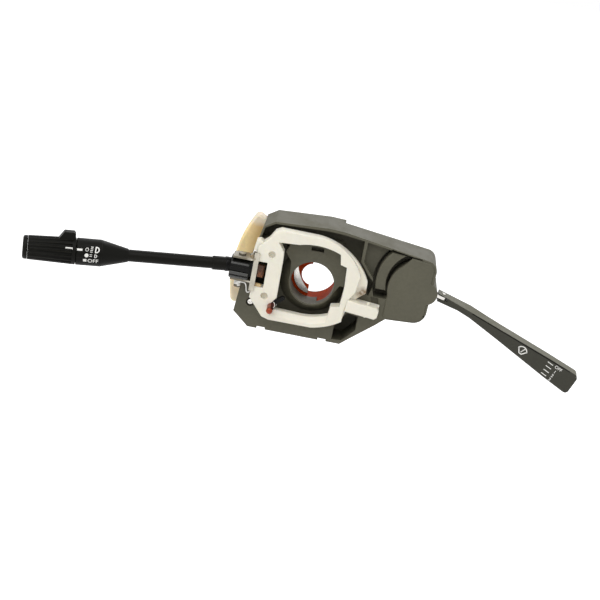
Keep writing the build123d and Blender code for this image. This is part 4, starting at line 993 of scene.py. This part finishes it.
# each mark: its shape or words, then x, z, width and height in millimetres
STALK_TURN = radians(-2.8)
LEVER_TURN = radians(22.5)
BEVEL_TURN = radians(16.3)
TONGUE = ("bar", -187.4, 3.4, 8.4, 9.2)
TONGUE_LIFT = 0.5
TONGUE_THICKNESS = 0.5
POINTER_FRONT = ("bar", -187.6, 5.1, 7.2, 1.5)
POINTER_REAR = ("bar", -194.6, 4.8, 5.6, 1.5)
# a dark strip of lever plastic along the wiper lever's bevel: painted shade of a groove
BEVEL_GROOVE_SHADE = ("bar", 178.0, -14.0, 89.0, 0.85)
COLLAR_MARKS = (
    ("ring", -180.6, 5.7, 2.7, 2.7), ("disc", -180.3, 1.2, 3.2, 3.2),
    ("bar", -181.2, -3.2, 2.6, 2.3),
    ("bar", -177.0, 7.9, 1.9, 0.5), ("bar", -177.0, 6.7, 1.9, 0.5), ("bar", -177.0, 5.5, 1.9, 0.5),
    ("bar", -177.0, 4.3, 1.9, 0.5), ("lamp", -173.6, 6.2, 5.4, 4.6),
    ("bar", -177.0, 2.2, 1.8, 0.5), ("bar", -177.0, 0.8, 1.8, 0.5), ("lamp", -173.7, 1.4, 3.4, 2.9),
    ("OFF", -174.9, -3.2, 3.5, 3.2),
)
LEVER_MARKS = (
    ("fan", 180.3, -20.4, 8.6, 8.0),
    ("bar", 204.3, -24.1, 5.0, 0.65), ("bar", 203.4, -27.7, 5.0, 0.65),
    ("bar", 202.5, -31.3, 5.0, 0.65), ("bar", 201.1, -34.6, 5.0, 0.65),
    ("OFF", 211.2, -26.6, 2.6, 2.8), ("1", 209.2, -30.2, 2.8, 2.8), ("2", 207.9, -33.9, 2.8, 2.8),
    ("3", 206.5, -37.4, 2.8, 2.8),
)


class STALK_OT_marks(bpy.types.Operator):
    """White marks printed on both levers, the tongue that carries the knob's pointer, and a dark
    strip of painted shade along the wiper lever's bevel
    """

    bl_idname = "stalk.marks"
    bl_label = "Printed marks"

    def execute(self, context):
        nodes = frame["nodes"]
        tongue = laid(*TONGUE, STALK_TURN)
        tongue = pressed_on(tongue, nodes["lever_collar"], TONGUE_LIFT, TONGUE_THICKNESS)
        settle(tongue, "knob_tongue", "light_knob", "Lever Plastic")
        front = laid(*POINTER_FRONT, STALK_TURN)
        front = pressed_on(front, tongue, INK_LIFT, INK_THICKNESS)
        rear = laid(*POINTER_REAR, STALK_TURN)
        rear = pressed_on(rear, nodes["light_knob"], INK_LIFT, INK_THICKNESS)
        settle(join([front, rear]), "knob_pointer", "light_knob", "Printed White")
        # painted shade: a dark strip where the groove under the top bevel is shaded
        line = laid(*BEVEL_GROOVE_SHADE, BEVEL_TURN)
        line = pressed_on(line, nodes["wiper_lever"], INK_LIFT, INK_THICKNESS)
        settle(line, "bevel_line", "wiper_lever", "Lever Plastic")
        for name, marks, turn, node, body in (
            ("collar_marks", COLLAR_MARKS, STALK_TURN, "lever_collar", "turn_lever"),
            ("wiper_marks", LEVER_MARKS, LEVER_TURN, "wiper_lever", "wiper_lever"),
        ):
            printed = join([laid(*mark, turn) for mark in marks])
            printed = pressed_on(printed, nodes[node], INK_LIFT, INK_THICKNESS)
            settle(printed, name, body, "Printed White")
        return {"FINISHED"}


# ---------------------------------------------------------------- stage
CAMERA_PLACE = Vector((-0.007075, -1.221361, 0.367023))
CAMERA_RIGHT = Vector((0.981627, 0.058963, 0.181470))
CAMERA_UP = Vector((-0.190809, 0.303339, 0.933583))
CAMERA_LENS = 90.0
FLOOR_GREY = 0.82
FLOOR_GLOW = 0.62
WORLD_LIGHT = 0.54
# each lamp: its place, the setting that holds its side, and its power in watts
LAMPS = {
    "key_lamp": ((-0.35, -0.75, 1.15), "key_size", 10.5),
    "left_lamp": ((-1.3, -0.8, 0.35), "fill_size", 3.8),
    "right_lamp": ((1.3, -0.7, 0.45), "fill_size", 3.8),
    "back_lamp": ((0.2, 1.1, 0.9), "fill_size", 5.0),
}


def viewing_rays(tree):
    """One on rays of the camera, gloss and glass, and zero on all others."""
    path = add_node(tree, "ShaderNodeLightPath").outputs
    seen = combine(tree, "MAXIMUM", path["Is Camera Ray"], path["Is Glossy Ray"])
    return combine(tree, "MAXIMUM", seen, path["Is Transmission Ray"])


def paper_floor_material():
    """Pale floor that reads white to the camera and keeps the shadow."""
    material = bpy.data.materials.new("Pale Floor")
    material.use_nodes = True
    tree = material.node_tree
    shader = tree.nodes["Principled BSDF"]
    shader.inputs["Base Color"].default_value = (FLOOR_GREY, FLOOR_GREY, FLOOR_GREY, 1.0)
    shader.inputs["Roughness"].default_value = 0.9
    glow = map_range(tree, viewing_rays(tree), 0.0, 1.0, 0.0, FLOOR_GLOW)
    shader.inputs["Emission Color"].default_value = (1.0, 1.0, 1.0, 1.0)
    tree.links.new(glow, shader.inputs["Emission Strength"])
    return material


def white_world():
    """Even grey light all round that the camera, gloss and glass see as white."""
    world = bpy.data.worlds.new("Studio")
    world.use_nodes = True
    tree = world.node_tree
    backdrop = tree.nodes["Background"]
    strength = map_range(tree, viewing_rays(tree), 0.0, 1.0, WORLD_LIGHT, 1.0)
    backdrop.inputs["Color"].default_value = (1.0, 1.0, 1.0, 1.0)
    tree.links.new(strength, backdrop.inputs["Strength"])
    return world


def soft_lamp(name, place, size, power):
    """Square area lamp that faces the origin."""
    lamp = bpy.data.lights.new(name, "AREA")
    lamp.shape = "SQUARE"
    lamp.size = size
    lamp.energy = power
    lamp_object = bpy.data.objects.new(name, lamp)
    lamp_object.location = place
    lamp_object.rotation_euler = (-Vector(place)).to_track_quat("-Z", "Y").to_euler()
    bpy.context.scene.collection.objects.link(lamp_object)


class STALK_OT_stage(bpy.types.Operator):
    """Pale floor, soft lamps and the camera"""

    bl_idname = "stalk.stage"
    bl_label = "Stage"

    def execute(self, context):
        stage = context.scene.stalk_stage
        bpy.ops.object.select_all(action="DESELECT")
        bpy.ops.mesh.primitive_plane_add(
            size=stage.floor_size, location=(0.0, 0.0, -stage.floor_drop)
        )
        floor = context.active_object
        floor.name = "floor"
        floor.data.materials.append(paper_floor_material())
        context.scene.world = white_world()
        for name, (place, side, power) in LAMPS.items():
            soft_lamp(name, place, getattr(stage, side), power)
        camera = bpy.data.cameras.new("camera")
        camera.lens = CAMERA_LENS
        camera_object = bpy.data.objects.new("camera", camera)
        back = CAMERA_RIGHT.cross(CAMERA_UP)
        turn = Matrix((CAMERA_RIGHT, CAMERA_UP, back)).transposed().to_4x4()
        camera_object.matrix_world = Matrix.Translation(CAMERA_PLACE) @ turn
        context.scene.collection.objects.link(camera_object)
        context.scene.camera = camera_object
        context.scene.view_settings.view_transform = "Standard"
        return {"FINISHED"}


# ---------------------------------------------------------------- panel and registration
STEPS = (
    STALK_OT_finishes, STALK_OT_springs, STALK_OT_ribs, STALK_OT_socket, STALK_OT_grease,
    STALK_OT_marks, STALK_OT_stage,
)


class STALK_PT_panel(bpy.types.Panel):
    """The steps that dress the switch"""

    bl_label = "Stalk Switch"
    bl_space_type = "VIEW_3D"
    bl_region_type = "UI"
    bl_category = "Stalk Switch"

    def draw(self, context):
        for step in STEPS:
            self.layout.operator(step.bl_idname)


GROUPS = {"stalk_colours": StalkSwitchColours, "stalk_stage": StalkSwitchStage}


def register():
    """Register the settings, the steps and their panel."""
    for group in GROUPS.values():
        bpy.utils.register_class(group)
    for name, group in GROUPS.items():
        setattr(bpy.types.Scene, name, PointerProperty(type=group))
    for step in STEPS:
        bpy.utils.register_class(step)
    bpy.utils.register_class(STALK_PT_panel)


def unregister():
    """Undo register, in the opposite order."""
    bpy.utils.unregister_class(STALK_PT_panel)
    for step in reversed(STEPS):
        bpy.utils.unregister_class(step)
    for name in GROUPS:
        delattr(bpy.types.Scene, name)
    for group in reversed(GROUPS.values()):
        bpy.utils.unregister_class(group)


def main():
    """Dress the switch."""
    register()
    bpy.ops.stalk.finishes()
    bpy.ops.stalk.springs()
    bpy.ops.stalk.ribs()
    bpy.ops.stalk.socket()
    bpy.ops.stalk.grease()
    bpy.ops.stalk.marks()
    bpy.ops.stalk.stage()


if __name__ == "__main__":
    main()
